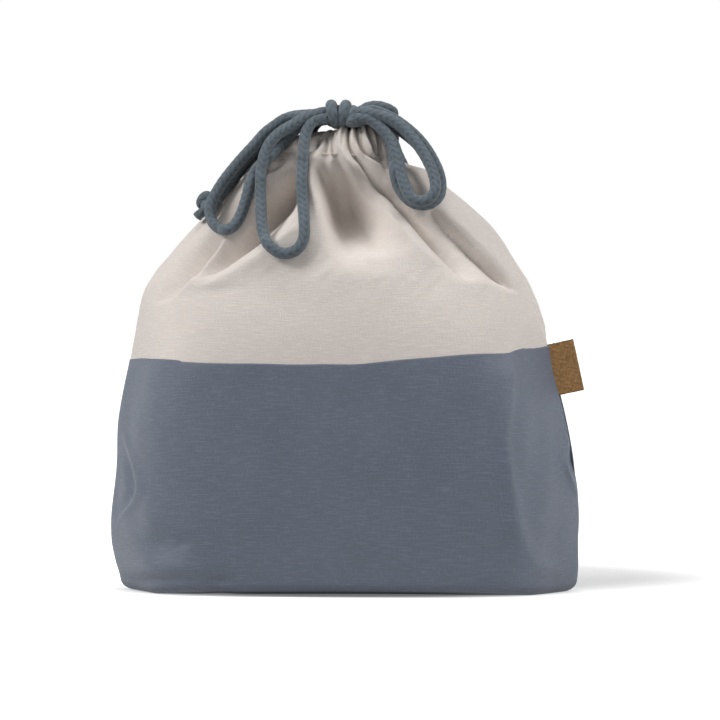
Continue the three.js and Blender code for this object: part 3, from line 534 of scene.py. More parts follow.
@cache
def cork_sheet():
    """Cork sheet, shaved from a block of pressed bark: a warm mottle of grains with dark pores and flecks,
    dry to the touch and rubbed darker at its edges."""
    material, tree = new_material("cork_sheet")
    place = node(tree, "UVMap", uv_map="Cloth")
    grains = node(tree, "TexVoronoi", {"Vector": place, "Scale": 1 / GRAIN_WIDTH}).outputs["Color"]
    tone = node(tree, "MapRange", [node(tree, "SeparateColor", [grains]), 0.0, 1.0, 0.78, 1.15])
    pores = node(tree, "TexNoise", {"Vector": place, "Scale": PORES, "Detail": 5.0, "Roughness": 0.7})
    drawn_out = node(tree, "Mapping", {"Vector": place, "Scale": VEINS})
    veins = node(tree, "TexNoise", {"Vector": drawn_out, "Scale": 1.0, "Detail": 4.0})
    rubbed = node(tree, "Attribute", attribute_name="edge").outputs["Fac"]
    spots = [node(tree, "MapRange", [pores, 0.58, 0.68, 0.0, 0.6]),
             node(tree, "MapRange", [veins, 0.54, 0.68, 0.0, 0.35]),
             node(tree, "Math", [rubbed, 0.6], operation="MULTIPLY")]
    dark = reduce(lambda a, b: node(tree, "Math", [a, b], operation="MAXIMUM"), spots)
    base = node(tree, "VectorMath", {0: list(look().cork_colour)[:3], "Scale": tone}, operation="SCALE")
    colour = node(tree, "Mix", {0: dark, 6: base, 7: list(look().pore_colour)}, data_type="RGBA").outputs[2]
    finish_material(tree, colour, 0.75, pores, 0.15 * MM, Specular_IOR_Level=0.3)
    return material


# Settings that a user would change

def colour_property(name, description, default):
    return FloatVectorProperty(name=name, description=description, subtype="COLOR", size=4, min=0, max=1,
                               default=linear(default))


def length_property(name, description, default):
    return FloatProperty(name=name, description=description, default=default * MM, unit="LENGTH",
                         subtype="DISTANCE", min=0, precision=4)


class BagSizes(bpy.types.PropertyGroup):
    """Sizes of the bag, its cloth, its cords and its tag. The lengths are given in millimetres."""
    width: length_property("Width", "From side seam to side seam, where the bag is widest", 244)
    depth: length_property("Depth", "From front to back, where the bag is deepest", 124)
    rim_height: length_property("Rim height", "From the floor to the rim of the gathered mouth", 242)
    coated_height: length_property("Coated height", "From the floor to the coating's edge, left seam", 121.6)
    coated_rise: length_property("Coated rise", "How much higher that edge is at the right seam", 7.2)
    mouth_width: length_property("Mouth width", "Over the pleats, from side to side", 44)
    mouth_depth: length_property("Mouth depth", "Over the pleats, from front to back", 40)
    base_rounding: length_property("Base rounding", "Radius where the walls turn into the base", 5)
    canvas_thickness: length_property("Canvas thickness", "Of the plain canvas", 0.7)
    coated_thickness: length_property("Coated thickness", "Of the coated canvas", 1.0)
    coating_step: length_property("Coating step", "How far the coating stands out of the canvas", 0.15)
    lap: length_property("Lap", "How far the plain canvas reaches down behind the coated one", 7)
    hem_slope: length_property("Hem slope", "The hem's height along the cloth", 16.7)
    hem_depth: length_property("Hem depth", "From the hem's outer face to its inner one", 12.6)
    pleat_depth: length_property("Pleat depth", "Of the pleats at the rim", 2.6)
    flare: FloatProperty(name="Flare", description="Of the hem's walls from upright, in degrees", default=34)
    flare_lean: FloatProperty(name="Flare lean", description="More flare at the left seam and less at the "
                                                             "right one, in degrees", default=17)
    flat_width: length_property("Flat width", "Of each panel before it was sewn and gathered", 322)
    cord: length_property("Cord", "Diameter of the braided cord", 6)
    tag_height: length_property("Tag height", "Of the cork tag, along the seam", 27)
    tag_reach: length_property("Tag reach", "From the seam to the tag's fold", 12.4)


class BagColours(bpy.types.PropertyGroup):
    """Colours of the bag's materials."""
    canvas_colour: colour_property("Canvas", "Of the natural canvas", "#e8dfd8")
    coated_colour: colour_property("Coating", "Of the coated lower half", "#636b79")
    cord_colour: colour_property("Cord", "Of the braid's raised yarns", "#69747b")
    # painted shade: the colour that the braid's grooves are darkened towards
    groove_shade_colour: colour_property("Cord grooves", "Between the braid's yarns", "#333c45")
    cork_colour: colour_property("Cork", "Of the cork's grains", "#b58c5c")
    pore_colour: colour_property("Cork pores", "Of the cork's pores and rubbed edges", "#5b3f28")


def bag_sizes():
    return bpy.context.scene.lunch_bag_sizes


def look():
    return bpy.context.scene.lunch_bag_colours


# The cloth pieces

COLUMNS = 244
HEM_END = 0.84                  # how far across the hem reaches, so that the cords can leave at the seams
SEEN_FROM = math.radians(4)     # how far to the right of straight ahead the camera stands
VIEW_TILT = math.radians(1.6)   # how far it looks down
VIEW_DISTANCE = 3.3
CENTRE_SEEN = 120.4 * MM        # the height at which it aims


def as_seen(points, facing):
    """x and height at which a panel's folds are measured: on the front where the camera sees the points,
    scaled to the plane through the bag's middle, and on the back their own."""
    x, y, z = np.moveaxis(points, -1, 0)
    if facing == BACK:
        return x, z
    nearer = 1 - y / VIEW_DISTANCE
    across = (x * math.cos(SEEN_FROM) + y * math.sin(SEEN_FROM)) * nearer
    height = CENTRE_SEEN + ((z - CENTRE_SEEN) * math.cos(VIEW_TILT) + y * math.sin(VIEW_TILT)) * nearer
    return across, height


def run_lengths(points):
    """The length of each row and of each column of a grid of points so far, as two grids."""
    along = np.zeros(points.shape[:2])
    up = np.zeros(points.shape[:2])
    along[:, 1:] = np.cumsum(np.linalg.norm(np.diff(points, axis=1), axis=-1), axis=1)
    up[1:] = np.cumsum(np.linalg.norm(np.diff(points, axis=0), axis=-1), axis=0)
    return along, up


def seam_press(points, depth, reach):
    """A side seam's groove: depth times exp(-distance from the seam / reach)."""
    along, _ = run_lengths(points)
    nearest = np.minimum(along, along[:, -1:] - along)
    return depth * np.exp(-nearest / reach)


def coating_thickness(bag, below):
    """The coated cloth thins to the coating's own step over its last millimetres. below is from its edge."""
    return mix(bag.coating_step, bag.coated_thickness, smooth(below, 0, bag.lap))


def edge_line(bag, facing, across):
    """The coating's edge with the small steps and waves of a hand-cut stencil."""
    place = facing * across
    step = -0.3 * MM * smooth(place, -0.54, -0.53) - 0.35 * MM * bump_over(place, 0.76, 0.77, 0.86, 0.87)
    return edge_height(bag, facing, across) + 0.12 * MM * np.sin(23 * place + 2) + step


def upper_grid(bag, facing):
    """The upper cloth's outer face: up from behind the coating's edge, out over the hem, round the rim and
    down inside it to the stitch line. Returns the points and how many rows the outside and the lap have."""
    across = np.linspace(-1, 1, COLUMNS)[None, :]
    edge = edge_line(bag, facing, across)
    top = hem_point(bag, facing, across, np.array(bag.hem_slope), 0.0)[..., 2]

    lap_rows, body_rows, hem_rows, inner_rows, stitch_rows = 10, 118, 20, 14, 5
    down = np.linspace(bag.lap, 0, lap_rows, endpoint=False)[:, None]
    lap = body_point(bag, facing, across, edge - down)
    lap -= grid_normals(lap) * coating_thickness(bag, down)[..., None]

    share = np.linspace(0, 1, body_rows)[:, None]
    body = body_point(bag, facing, across, mix(edge, top, share))
    begins = mix(0.78, 0.93, smooth(np.abs(across), 0.3, 0.8))  # where it turns into the hem's slope
    turned = smooth(share, begins, 1)
    slope = bag.hem_slope + (1 - share) * (bag.rim_height - edge)
    cone = hem_point(bag, facing, across * mix(1.0, HEM_END, turned), slope, 0.0)
    body = mix(body, cone, turned[..., None])

    ends = across * HEM_END
    hem = hem_point(bag, facing, ends, np.linspace(bag.hem_slope, RIM_ROLL, hem_rows + 1)[1:, None], 0.0)
    angle = np.linspace(0, math.pi, ROLL_ROWS + 1)[1:, None]
    lift = bag.hem_depth / 2 * math.tan(math.radians(bag.flare))
    over = hem_point(bag, facing, ends, RIM_ROLL - (RIM_ROLL + lift) * np.sin(angle),
                     bag.hem_depth * (1 - np.cos(angle)) / 2)
    inner = np.linspace(RIM_ROLL, bag.hem_slope, inner_rows + 1)[1:, None]
    inside = hem_point(bag, facing, ends, inner, np.array(bag.hem_depth))
    depth = np.linspace(bag.hem_depth, bag.canvas_thickness * 2, stitch_rows + 1)[1:, None]
    stitch = hem_point(bag, facing, ends, np.array(bag.hem_slope), depth)
    return np.concatenate([lap, body, hem, over, inside, stitch]), lap_rows + body_rows + hem_rows, lap_rows


def press_in(points, normals, press):
    """Each point moved against its normal by its press."""
    return points - normals * press[..., None]


RIM_ROLL = 5 * MM           # how far down the hem the rim begins to roll over
ROLL_ROWS = 22              # rows of the roll
INSIDE_SHARE = 0.35         # of the rim's press, what is left of it inside and how far the roll sinks with it
INSIDE_ROWS = 34            # over how many rows past the rim it fades to that
NORMAL_REACH = 8            # rows over which the direction of pressing is evened out
DEEPEST, DEEPEST_AT_RIM = 30 * MM, 4.2 * MM


def right_seam_press(facing, along, height):
    """The hollow beside the right seam, and on the back the ridge next to it, depth exp(-(d / width)^2) of
    the distance from the seam. along is the distance from the panel's first column."""
    away = (along if facing == BACK else along[:, -1:] - along) / MM
    height = height / MM
    width = 3.6 if facing == BACK else 6
    press = 3.2 * np.exp(-(away / width) ** 2) * bump_over(height, 124, 142, 205, 222)
    if facing == BACK:
        press -= 1.6 * np.exp(-((away - 9) / 5) ** 2) * bump_over(height, 124, 140, 155, 192)
    return press * MM


def upper_surface(bag, facing):
    """The upper cloth's outer face with its folds pressed in."""
    points, rim, lap_rows = upper_grid(bag, facing)
    outer, up = points[:rim], evened(grid_normals(points)[:rim], NORMAL_REACH)
    across = np.linspace(-1, 1, COLUMNS)[None, :] * np.ones((rim, 1))
    seen, height = as_seen(outer, facing)
    along = np.linalg.norm(np.gradient(outer, axis=1), axis=-1)
    stretch = np.clip(along / np.maximum(np.abs(np.gradient(seen, axis=1)), 1e-9), 1, 4)
    press = fold_press(FRONT_FOLDS if facing == FRONT else BACK_FOLDS, seen, height, stretch)
    press += rim_press(bag, across, outer[..., 2])

    u, v = run_lengths(outer)
    fade = smooth(outer[..., 2], bag.coated_height, bag.coated_height + 40 * MM)
    for depth, size, seed in ((0.07, 9, 3), (0.25, 45, 7)):
        press += depth * MM * fade * soft_noise(u, v, size * MM, seed + facing)
    press += seam_press(outer, 1.2 * MM, 1.4 * MM)
    press += right_seam_press(facing, u, outer[..., 2])
    press[:lap_rows] *= np.linspace(0, 1, lap_rows)[:, None]
    near_rim = smooth(outer[..., 2], bag.rim_height - 38 * MM, bag.rim_height - 13 * MM)
    limit = mix(DEEPEST, DEEPEST_AT_RIM, near_rim)
    press = limit * np.tanh(press / limit)

    made = points.copy()
    made[:rim] = press_in(outer, up, press)
    past = np.arange(len(points) - rim)[:, None]    # rows over the rim and down inside it
    fading = mix(1.0, INSIDE_SHARE, smooth(past, 0, INSIDE_ROWS))
    made[rim:] = press_in(points[rim:], np.repeat(up[-1:], len(past), axis=0), fading * press[-1:])
    made[rim:, :, 2] -= INSIDE_SHARE * press[-1:] * np.sin(np.clip(past / ROLL_ROWS, 0, 1) * math.pi)

    # the rim sags under the bow, and its left end is drawn outwards
    x, z = made[..., 0].copy(), made[..., 2].copy()
    sag = np.exp(-((x / MM + 13) / 6) ** 2) * smooth(z, bag.rim_height - 14 * MM, bag.rim_height - 3 * MM)
    drawn = smooth(-x, 12 * MM, 24 * MM) * smooth(z, bag.rim_height - 20 * MM, bag.rim_height - 8 * MM)
    made[..., 2] -= 1.8 * MM * sag
    made[..., 0] -= 5 * MM * drawn
    return made


def sewn_cloth(bag, name, outer, thickness, up, material):
    """A cloth piece that rides the bag. up is how far up the flat cloth each place of its face lies."""
    across = np.linspace(0, bag.flat_width, COLUMNS)[None, :] * np.ones((len(outer), 1))
    thing = cloth_sheet(name, outer, thickness, np.stack([across, up], -1) / MM, material)
    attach(thing, "bag")
    return thing


def make_upper(bag, facing, name):
    """The canvas of one side with its hem, from behind the coated cloth to the stitch line."""
    made = upper_surface(bag, facing)
    thickness = np.full(made.shape[:2], bag.canvas_thickness)
    return sewn_cloth(bag, name, made, thickness, run_lengths(made)[1], natural_canvas())


def drawn_in(bag, facing, across, distance, height):
    """A place on the body drawn in towards its axis by a distance."""
    point = body_point(bag, facing, across, height)
    length = np.linalg.norm(point[..., :2], axis=-1, keepdims=True)
    point[..., :2] *= 1 - np.asarray(distance)[..., None] / length
    return point


FRONT_LIFT = 2.7 * MM       # how far the base's front edge rides up off the floor
MIDDLE_SHARE = 0.97         # how wide the base still is along its middle line, of its width at the corner


def make_lower(bag, facing, name):
    """The coated cloth of one side: from the base's middle line out to the corner, round it and up to the
    coating's edge. Its dents press in depth times exp(-r^2), where r is 1 at their half width and height."""
    across = np.linspace(-1, 1, COLUMNS)[None, :]
    base_rows, turn_rows, wall_rows = 26, 16, 148
    corner = drawn_in(bag, facing, across, bag.base_rounding, np.zeros((1, 1)))
    middle = corner * [MIDDLE_SHARE, 0, 1]
    base = mix(middle, corner, np.linspace(0, 1, base_rows, endpoint=False)[:, None, None])
    angle = np.linspace(0, math.pi / 2, turn_rows, endpoint=False)[:, None]
    turn = drawn_in(bag, facing, across, bag.base_rounding * (1 - np.sin(angle)),
                    bag.base_rounding * (1 - np.cos(angle)))
    edge = edge_line(bag, facing, across)
    share = np.linspace(0, 1, wall_rows)[:, None]
    wall = body_point(bag, facing, across, mix(bag.base_rounding, edge, share))
    points = np.concatenate([base, turn, wall])

    seen, height = as_seen(points, facing)
    press = np.zeros(points.shape[:2])
    for x, z, wide, high, tilt, depth in LOWER_DENTS[facing]:
        dx, dz = seen / MM - x, height / MM - z
        c, s = math.cos(math.radians(tilt)), math.sin(math.radians(tilt))
        press += depth * MM * np.exp(-(((dx * c + dz * s) / wide) ** 2 + ((dz * c - dx * s) / high) ** 2))
    u, v = run_lengths(points)
    press += fold_press(LOWER_FOLDS[facing], seen, height, np.ones_like(press)) / NARROW_GAIN
    press += 0.3 * MM * soft_noise(u, v, 45 * MM, 11 + facing) * smooth(height, 6 * MM, 30 * MM)
    press *= smooth(edge - points[..., 2], 0, 12 * MM)
    press += seam_press(points, 0.6 * MM, 1.4 * MM)
    made = press_in(points, grid_normals(points), press)
    if facing == FRONT:
        lifted = smooth(-points[..., 1], 34 * MM, 58 * MM) * (1 - smooth(points[..., 2], 0, 12 * MM))
        made[..., 2] += FRONT_LIFT * lifted

    below = np.maximum(edge - made[..., 2], 0)
    _, v = run_lengths(made)
    v -= v[base_rows + turn_rows]
    return sewn_cloth(bag, name, made, coating_thickness(bag, below), v, coated_canvas())


# Dents in the coated cloth: x, height, half width, half height, tilt in degrees, depth, in millimetres.
# A negative depth is a bulge.
LOWER_DENTS = {
    FRONT: [(-99, 24.5, 9, 6.5, -15, 3.2), (-86.5, 24.5, 4, 3.5, 0, 1.3), (-93, 11, 16, 5, 0, -1.6),
            (-104, 4, 12, 4, 0, 1.4), (-114, 90, 4, 18, 0, 0.5), (20, 40, 60, 50, 10, 0.6),
            (-50, 90, 30, 40, 0, 0.4), (-66, 3, 7, 5, 0, 1.4), (118, 68, 3, 8, 0, 1.3),
            (98, 62, 6, 34, -4, 1.3), (92, 9, 16, 5, 20, -0.8)],
    BACK: [(60, 60, 30, 40, 10, 0.6), (-40, 70, 40, 40, -10, 0.5), (0, 20, 50, 12, 0, 0.5)],
}
LOWER_FOLDS = {
    FRONT: [
        [(84, -117, 0, 1.5, 2), (79, -116.1, -0.9, 1.2, 2), (66, -111.5, -1.8, 1.2, 2.5),
         (55, -109, -2.2, 1.2, 3), (46, -111.5, -1.8, 1.2, 2.5), (36, -119, -0.5, 1.2, 2),
         (30, -121, 0, 1, 1)],
        [(76, -117, 0, 2, 2), (62, -114.5, 1.6, 1.6, 1.8), (52, -113.5, 1.8, 2, 2), (44, -116, 0.8, 2, 2),
         (38, -119, 0, 2, 2)],
        [(134, 85, 0, 6, 3), (123.5, 84.8, -2.4, 6, 3.2), (100, 83.8, -3, 6, 3.4), (80, 82, -2.8, 5, 3.4),
         (68, 83.4, -2.6, 5, 3.4), (49, 86, -2.6, 6, 4), (30, 89.5, -2.4, 7, 5), (15, 96.5, -1.6, 8, 6),
         (5, 107, 0, 9, 8)],
        [(84, 113.5, 0, 1, 1), (78, 115, -0.9, 1.2, 1.2), (66.5, 113.6, -2, 1.2, 1.6),
         (54, 118, -1.2, 1.2, 1.2), (48, 120, 0, 1, 1)],
    ],
    BACK: [],
}


# Cords

CORD_ROUTES = {
    "left_front_loop": [
        (-5, -16.5, 249.6), (-11.1, -18.8, 249.4), (-16, -22.3, 248.1), (-21.3, -22.8, 246.3),
        (-26.6, -23.6, 243), (-32.3, -24.6, 239.6), (-37, -25.8, 235.3), (-40.3, -27.2, 229.5),
        (-42.2, -29, 222), (-42.7, -31.5, 213.6), (-42.4, -35, 204.6), (-41.7, -39.5, 195.7),
        (-40.3, -44.5, 187.3), (-37, -48.3, 181), (-31.3, -50.6, 177.1), (-26.5, -50.8, 176.8),
        (-21.8, -50.3, 179.2), (-19.2, -49, 183.6), (-18.7, -46.3, 189.4), (-19.4, -42.6, 196.7),
        (-20.5, -38.3, 204.6), (-21.1, -34.6, 212.5), (-21.1, -31, 221), (-20.8, -27.8, 228.9),
        (-20.2, -25.2, 236.3), (-18.3, -23.4, 242.4), (-15, -22.4, 245.6), (-11.1, -21.6, 246.4),
        (-5, -17.5, 247.6)],
    "left_back_loop": [
        (-5, -13.8, 249.4), (-11.6, -14, 248.4), (-18, -14.6, 247.2), (-28.6, -15, 246.8),
        (-32.3, -15, 245.7), (-35.7, -15, 243.4), (-41.8, -15.2, 238.8), (-46.9, -15.6, 233.1),
        (-53.1, -16.5, 226.3), (-57.8, -18, 220.7), (-62.5, -19.8, 214.6), (-66.3, -21.6, 208.5),
        (-68.9, -23.3, 203), (-69.6, -25, 198.2), (-68.3, -27, 193.2), (-65, -29.3, 189.8),
        (-61.2, -31.3, 188.6), (-57.3, -32.5, 189.9), (-54.4, -32, 193.4), (-52.4, -30.3, 197.7),
        (-50.8, -28.3, 202.5), (-49.4, -26.2, 207.8), (-48.2, -24, 213.6), (-45.8, -22, 219.4),
        (-41.2, -20, 224.2), (-36.5, -18.3, 229), (-32.4, -17, 233.7), (-28.2, -16, 238.3),
        (-24, -15.4, 242), (-19.5, -15.2, 244.2), (-11.6, -14.8, 245.6), (-5, -14, 247)],
    "right_front_loop": [
        (-2, -16.5, 249.6), (4, -18.8, 249.4), (10, -21.5, 249.5), (15, -21.8, 248.5), (20, -22.2, 247.2),
        (25, -22.8, 245), (30, -23.8, 241.6), (35.1, -25.4, 236.6), (39.7, -27.4, 230.9), (43.8, -30, 224.4),
        (46.7, -32.8, 218), (48.2, -35.6, 212), (47.2, -37.8, 207.1), (43.8, -39, 204.1),
        (39.9, -39.2, 203.4), (36.1, -38.4, 205.1), (33, -36, 209.6), (30.8, -33, 215.5),
        (29.2, -30.2, 221.9), (27.5, -27.8, 228.4), (25.2, -25.4, 234.4), (21.3, -23.6, 239.3),
        (16.5, -22.4, 243.6), (11.5, -22, 246.5), (4, -21.6, 246.4), (-2, -17.5, 247.6)],
    "right_back_loop": [
        (-2, -13.8, 249.4), (4.5, -14, 248.4), (14.5, -15, 250.4), (20.5, -15, 248.4), (25.5, -15.2, 245.9),
        (31.5, -16, 241.8), (37.1, -17.4, 236.9), (42, -19.4, 231.2), (46.1, -22, 224.7), (49.2, -24.8, 218),
        (50.5, -27.6, 211.5), (49.5, -30, 206.1), (45.9, -31.6, 202.6), (41.5, -32.3, 201.5),
        (36.5, -31.6, 202.6), (31.9, -30, 206.1), (28.5, -27.6, 211.5), (26.8, -25, 218), (26, -22.4, 224.4),
        (24.7, -20, 230.9), (21.7, -18, 236.9), (17.6, -16.4, 241.9), (13.1, -15.4, 245.9),
        (4.5, -14.8, 244.6), (-2, -14, 246.8)],
    "left_upper_tail": [
        (-5, -12, 249.6), (-11.6, -9.8, 249), (-18, -9, 248.4), (-24, -8.8, 248), (-28.6, -8.8, 247.3),
        (-33, -8.8, 245.4), (-37.5, -8.8, 241.8), (-42.5, -9, 236.8), (-48, -9.2, 230.6), (-54, -9.8, 223.8),
        (-59.5, -11, 217.2), (-64.5, -12.2, 210.6), (-69, -12.6, 205.2)],
    "left_lower_tail": [
        (-5, -12, 247), (-11.6, -7.6, 246), (-18, -7.4, 245.6), (-24, -7.2, 244.5), (-30, -6.4, 242.2),
        (-36, -4.6, 239.4), (-41.6, -3.8, 235.6), (-47, -3.6, 229.6), (-52.3, -4.4, 223.2), (-57, -6, 217.6),
        (-61, -8.4, 212.2), (-65, -11.4, 207), (-69, -12.8, 203.4)],
    "right_upper_tail": [
        (-2, -12, 249.6), (4.5, -9.4, 248.8), (8, -9, 250.2), (11.5, -8.9, 252.1), (16.1, -8.8, 252.7),
        (20.6, -8, 251.7), (23.6, -5, 250), (23.6, 1, 248.4), (22, 7, 246.8), (20.8, 13.5, 244.4),
        (21, 19.5, 240), (22.4, 24.5, 233.5), (26, 30, 224.5), (31.5, 36, 214), (38, 40.5, 205.5)],
    "right_lower_tail": [
        (-2, -12, 247), (4.5, -9, 245), (16.5, -8.8, 245), (23, -8.8, 243.4), (29, -8.7, 239.6),
        (34.6, -6.8, 235.2), (38.6, -1.5, 230.8), (41.8, 5.5, 225.7), (43.8, 13, 219.7), (45.4, 21.5, 213.5),
        (46.2, 30, 208), (46.6, 38, 203.6)],
}
DRAWCORD_LEADS = {
    "left_drawcord": ([(-7.4, -7.5, 249.2), (-8.6, -2.9, 248.8), (-13.5, -1.4, 248.2), (-18.4, -1.7, 245.6),
                       (-20.6, -2.6, 241.5), (-20.2, -3.15, 237), (-18.6, -3.3, 234)],
                      [(-7.4, -7.5, 244.6), (-8.4, -1.5, 245.4), (-11.5, 3.4, 246.2), (-15.8, 5.2, 244.8),
                       (-18.6, 4.6, 241), (-18.6, 3.6, 236.5)]),
    "right_drawcord": ([(0.3, -7.5, 249), (1.5, -2.9, 248.6), (8, -1.4, 248.4), (15.5, -1.2, 247.4),
                        (21.5, -1.6, 244.4), (24.2, -2.3, 239.5), (24, -2.9, 234.5), (22.6, -3.2, 230.5)],
                       [(0.3, -7.5, 243.6), (1.5, -2.9, 243), (8, -1.2, 242.8), (15, 0.8, 242.2),
                        (20.5, 2.6, 239.6), (22.8, 3.4, 235.5), (22.6, 3.2, 231.5)]),
}
KNOT_MIDDLE = (-3.55, -15, 249.3)
END_KNOTS = {"left": (-71.2, -12.4, 202), "right": (43.5, 41, 200.5)}


def spline(points, step, closed=False):
    """A centripetal Catmull-Rom curve through the points, cut into equal lengths of about step."""
    p = np.asarray(points, float)
    before, after = (p[-1:], p[:2]) if closed else (2 * p[:1] - p[1:2], 2 * p[-1:] - p[-2:-1])
    p = np.concatenate([before, p, after])
    gap = np.linalg.norm(np.diff(p, axis=0), axis=-1)[:, None] ** 0.5
    a, b, c = gap[:-2], gap[1:-1], gap[2:]
    p0, p1, p2, p3 = p[:-3], p[1:-2], p[2:-1], p[3:]
    out = ((p1 - p0) / a - (p2 - p0) / (a + b) + (p2 - p1) / b) * b
    into = ((p2 - p1) / b - (p3 - p1) / (b + c) + (p3 - p2) / c) * b
    t = np.linspace(0, 1, 60, endpoint=False)[None, :, None]
    curve = hermite(t, p1[:, None], out[:, None], p2[:, None], into[:, None]).reshape(-1, 3)
    curve = np.concatenate([curve, p2[-1:]])
    along = np.concatenate([[0], np.cumsum(np.linalg.norm(np.diff(curve, axis=0), axis=-1))])
    stops = np.linspace(0, along[-1], max(int(along[-1] / step), 8) + 1)
    return np.stack([np.interp(stops, along, curve[:, k]) for k in range(3)], -1), along[-1]


def carried_frame(path):
    """Two unit directions across a path at each of its points, carried along it without twist."""
    tangent = unit(np.gradient(path, axis=0))
    side = np.zeros_like(path)
    first = np.cross(tangent[0], np.eye(3)[np.argmin(np.abs(tangent[0]))])
    side[0] = first / np.linalg.norm(first)
    for i in range(1, len(path)):
        moved = side[i - 1] - tangent[i] * np.dot(side[i - 1], tangent[i])
        side[i] = moved / np.linalg.norm(moved)
    return side, np.cross(tangent, side)


def braid(along, angle):
    """A round braid's relief: ridges of yarn that zigzag round the cord, from 0 in a groove to 1 on top."""
    pitch, crossings = 3.6 * MM, 3
    zigzag = 2 * np.abs((angle * crossings / math.tau) % 1 - 0.5)
    groove = 1 - np.abs(np.sin(math.pi * (along / pitch + 0.9 * zigzag))) ** 0.5
    return 1 - groove * (0.45 + 0.55 * np.abs(2 * zigzag - 1) ** 2)


RELIEF_SHARE = 0.1      # of the cord's radius, the depth of the braid's grooves


def cord_tube(name, route, radius, closed=False, ends=(0.85, 0.85)):
    """A braided tube round a route in metres, closed in a ring or with rounded ends. ends says over how much
    of the radius each end is rounded. Returns the tube and its centreline."""
    step, sides = 0.34 * MM, 30
    path, length = spline(route, step, closed)
    slip = 0.0
    if closed:
        path = path[:-1]
        side, other = carried_frame(np.concatenate([path, path[:1]]))
        slip = math.atan2(np.dot(side[-1], other[0]), np.dot(side[-1], side[0]))
        side, other = side[:-1], other[:-1]
    else:
        side, other = carried_frame(path)
    count = len(path)
    step = length / (count if closed else count - 1)
    along = np.arange(count)[:, None] * step
    angle = np.arange(sides)[None, :] * math.tau / sides
    groove = 1 - braid(along, angle)
    round_off = np.ones((count, 1))
    if not closed:
        for share, distance in ((ends[0], along), (ends[1], length - along)):
            t = np.clip(1 - distance / (share * radius), 0, 1)
            round_off *= np.sqrt(np.maximum(1 - t**2, 0.02))
    r = (radius * (1 - RELIEF_SHARE * groove) * round_off)[..., None]
    turn = (angle - slip * along / length)[..., None]
    points = path[:, None] + r * (np.cos(turn) * side[:, None] + np.sin(turn) * other[:, None])

    faces, place = grid_faces(count + (1 if closed else 0), sides, closed=True)
    uv = np.stack([place[..., 1] * math.tau * radius / sides, place[..., 0] * step], -1) / MM
    lists, uvs = [(faces % (count * sides))[:, ::-1]], [uv[:, ::-1]]
    vertices, groove = points.reshape(-1, 3), groove.ravel()
    if not closed:
        vertices = np.concatenate([vertices, path[:1], path[-1:]])
        groove = np.concatenate([groove, [0.5, 0.5]])
        k, middle = np.arange(sides), np.full(sides, count * sides)
        last = (count - 1) * sides
        caps = (np.stack([k, (k + 1) % sides, middle], -1),
                np.stack([last + (k + 1) % sides, last + k, middle + 1], -1))
        for cap, at in zip(caps, (0.0, length)):
            lists.append(cap)
            uvs.append(np.stack([cap % sides * math.tau * radius / sides, np.full(cap.shape, at)], -1) / MM)
    thing = make_object(name, vertices, lists, uvs, braided_cotton(), {"groove": groove})
    return thing, path


def strand_route(name):
    """A loop's or a tail's points in metres, from inside the bow knot."""
    route = list(CORD_ROUTES[name])
    if name.endswith("tail"):
        route.append(END_KNOTS[name.split("_")[0]])
    return np.array(route) * MM


def ring_route(bag, side, down):
    """The drawcord's way round the mouth inside the hem, from its side's exit and back to it."""
    stops, exit_at, depth = np.linspace(0, 1, 12), 0.92, np.array(8.0 * MM)
    front = hem_point(bag, FRONT, -side * mix(-exit_at, 1, stops), np.array(down), depth)
    back = hem_point(bag, BACK, -side * mix(-1, exit_at, stops), np.array(down), depth)
    return np.concatenate([front, back[1:]])


def laid_on(path, cloth, radius):
    """Moves a hanging cord's line forward where it would sink into the cloth behind it: at each place its y
    is at most that of a ball of the cord's radius that touches the cloth, smoothed along the cord."""
    cloth = cloth.reshape(-1, 3)
    cloth = cloth[cloth[:, 1] < 0]
    away = np.hypot(path[:, None, 0] - cloth[None, :, 0], path[:, None, 2] - cloth[None, :, 2])
    room = np.where(away < radius, np.sqrt(np.maximum(radius**2 - away**2, 0)), np.nan)
    touching = np.where(np.isnan(room), np.inf, cloth[None, :, 1] - np.nan_to_num(room)).min(axis=1)
    y = np.minimum(path[:, 1], touching)
    window = np.hanning(15)
    padded = np.pad(y, 7, mode="edge")
    moved = path.copy()
    moved[:, 1] = np.minimum(np.convolve(padded, window / window.sum(), "valid"), touching)
    return moved


def make_strand(bag, name):
    """A loop, or a tail up to its end knot, as a braided tube along its route. A loop is first laid on the
    front canvas so that it doesn't sink into it."""
    route = strand_route(name)
    if name.endswith("loop"):
        route, _ = spline(route, 2 * MM)
        route = laid_on(route, upper_surface(bag, FRONT), bag.cord / 2 + 0.3 * MM)
    thing, path = cord_tube(name + "_braid", route, bag.cord / 2)
    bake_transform(thing)
    return thing


# How far below the rim each drawcord runs in the hem, the left one over the right one
DRAWCORD_DOWN = {"left_drawcord": 4.9 * MM, "right_drawcord": 11.8 * MM}


def make_drawcord(bag, name):
    side = -1 if name.startswith("left") else 1
    front, back = (np.array(lead) * MM for lead in DRAWCORD_LEADS[name])
    route = np.concatenate([front, ring_route(bag, side, DRAWCORD_DOWN[name]), back[::-1]])
    thing, path = cord_tube(name + "_braid", route, bag.cord / 2)
    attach(thing, "bag")
    return thing


def wrap_route(top, bottom, deep, middle, high):
    """A wrap's closed route round the bow knot: a tilted ring, at x = top over the strands and at x = bottom
    under them."""
    angle = np.arange(14) * math.tau / 14
    x = mix(bottom, top, (1 + np.sin(angle)) / 2)
    return np.stack([x, KNOT_MIDDLE[1] + deep * np.cos(angle), middle + high * np.sin(angle)], -1) * MM


# Each wrap's x over and under the strands, half depth, height of its middle, and half height
KNOT_WRAPS = [(-7.3, -4.9, 6.5, 248.6, 4.7), (0.3, -1.6, 6.1, 248.6, 4.6), (4.0, 2.8, 5.4, 247.4, 3.0)]


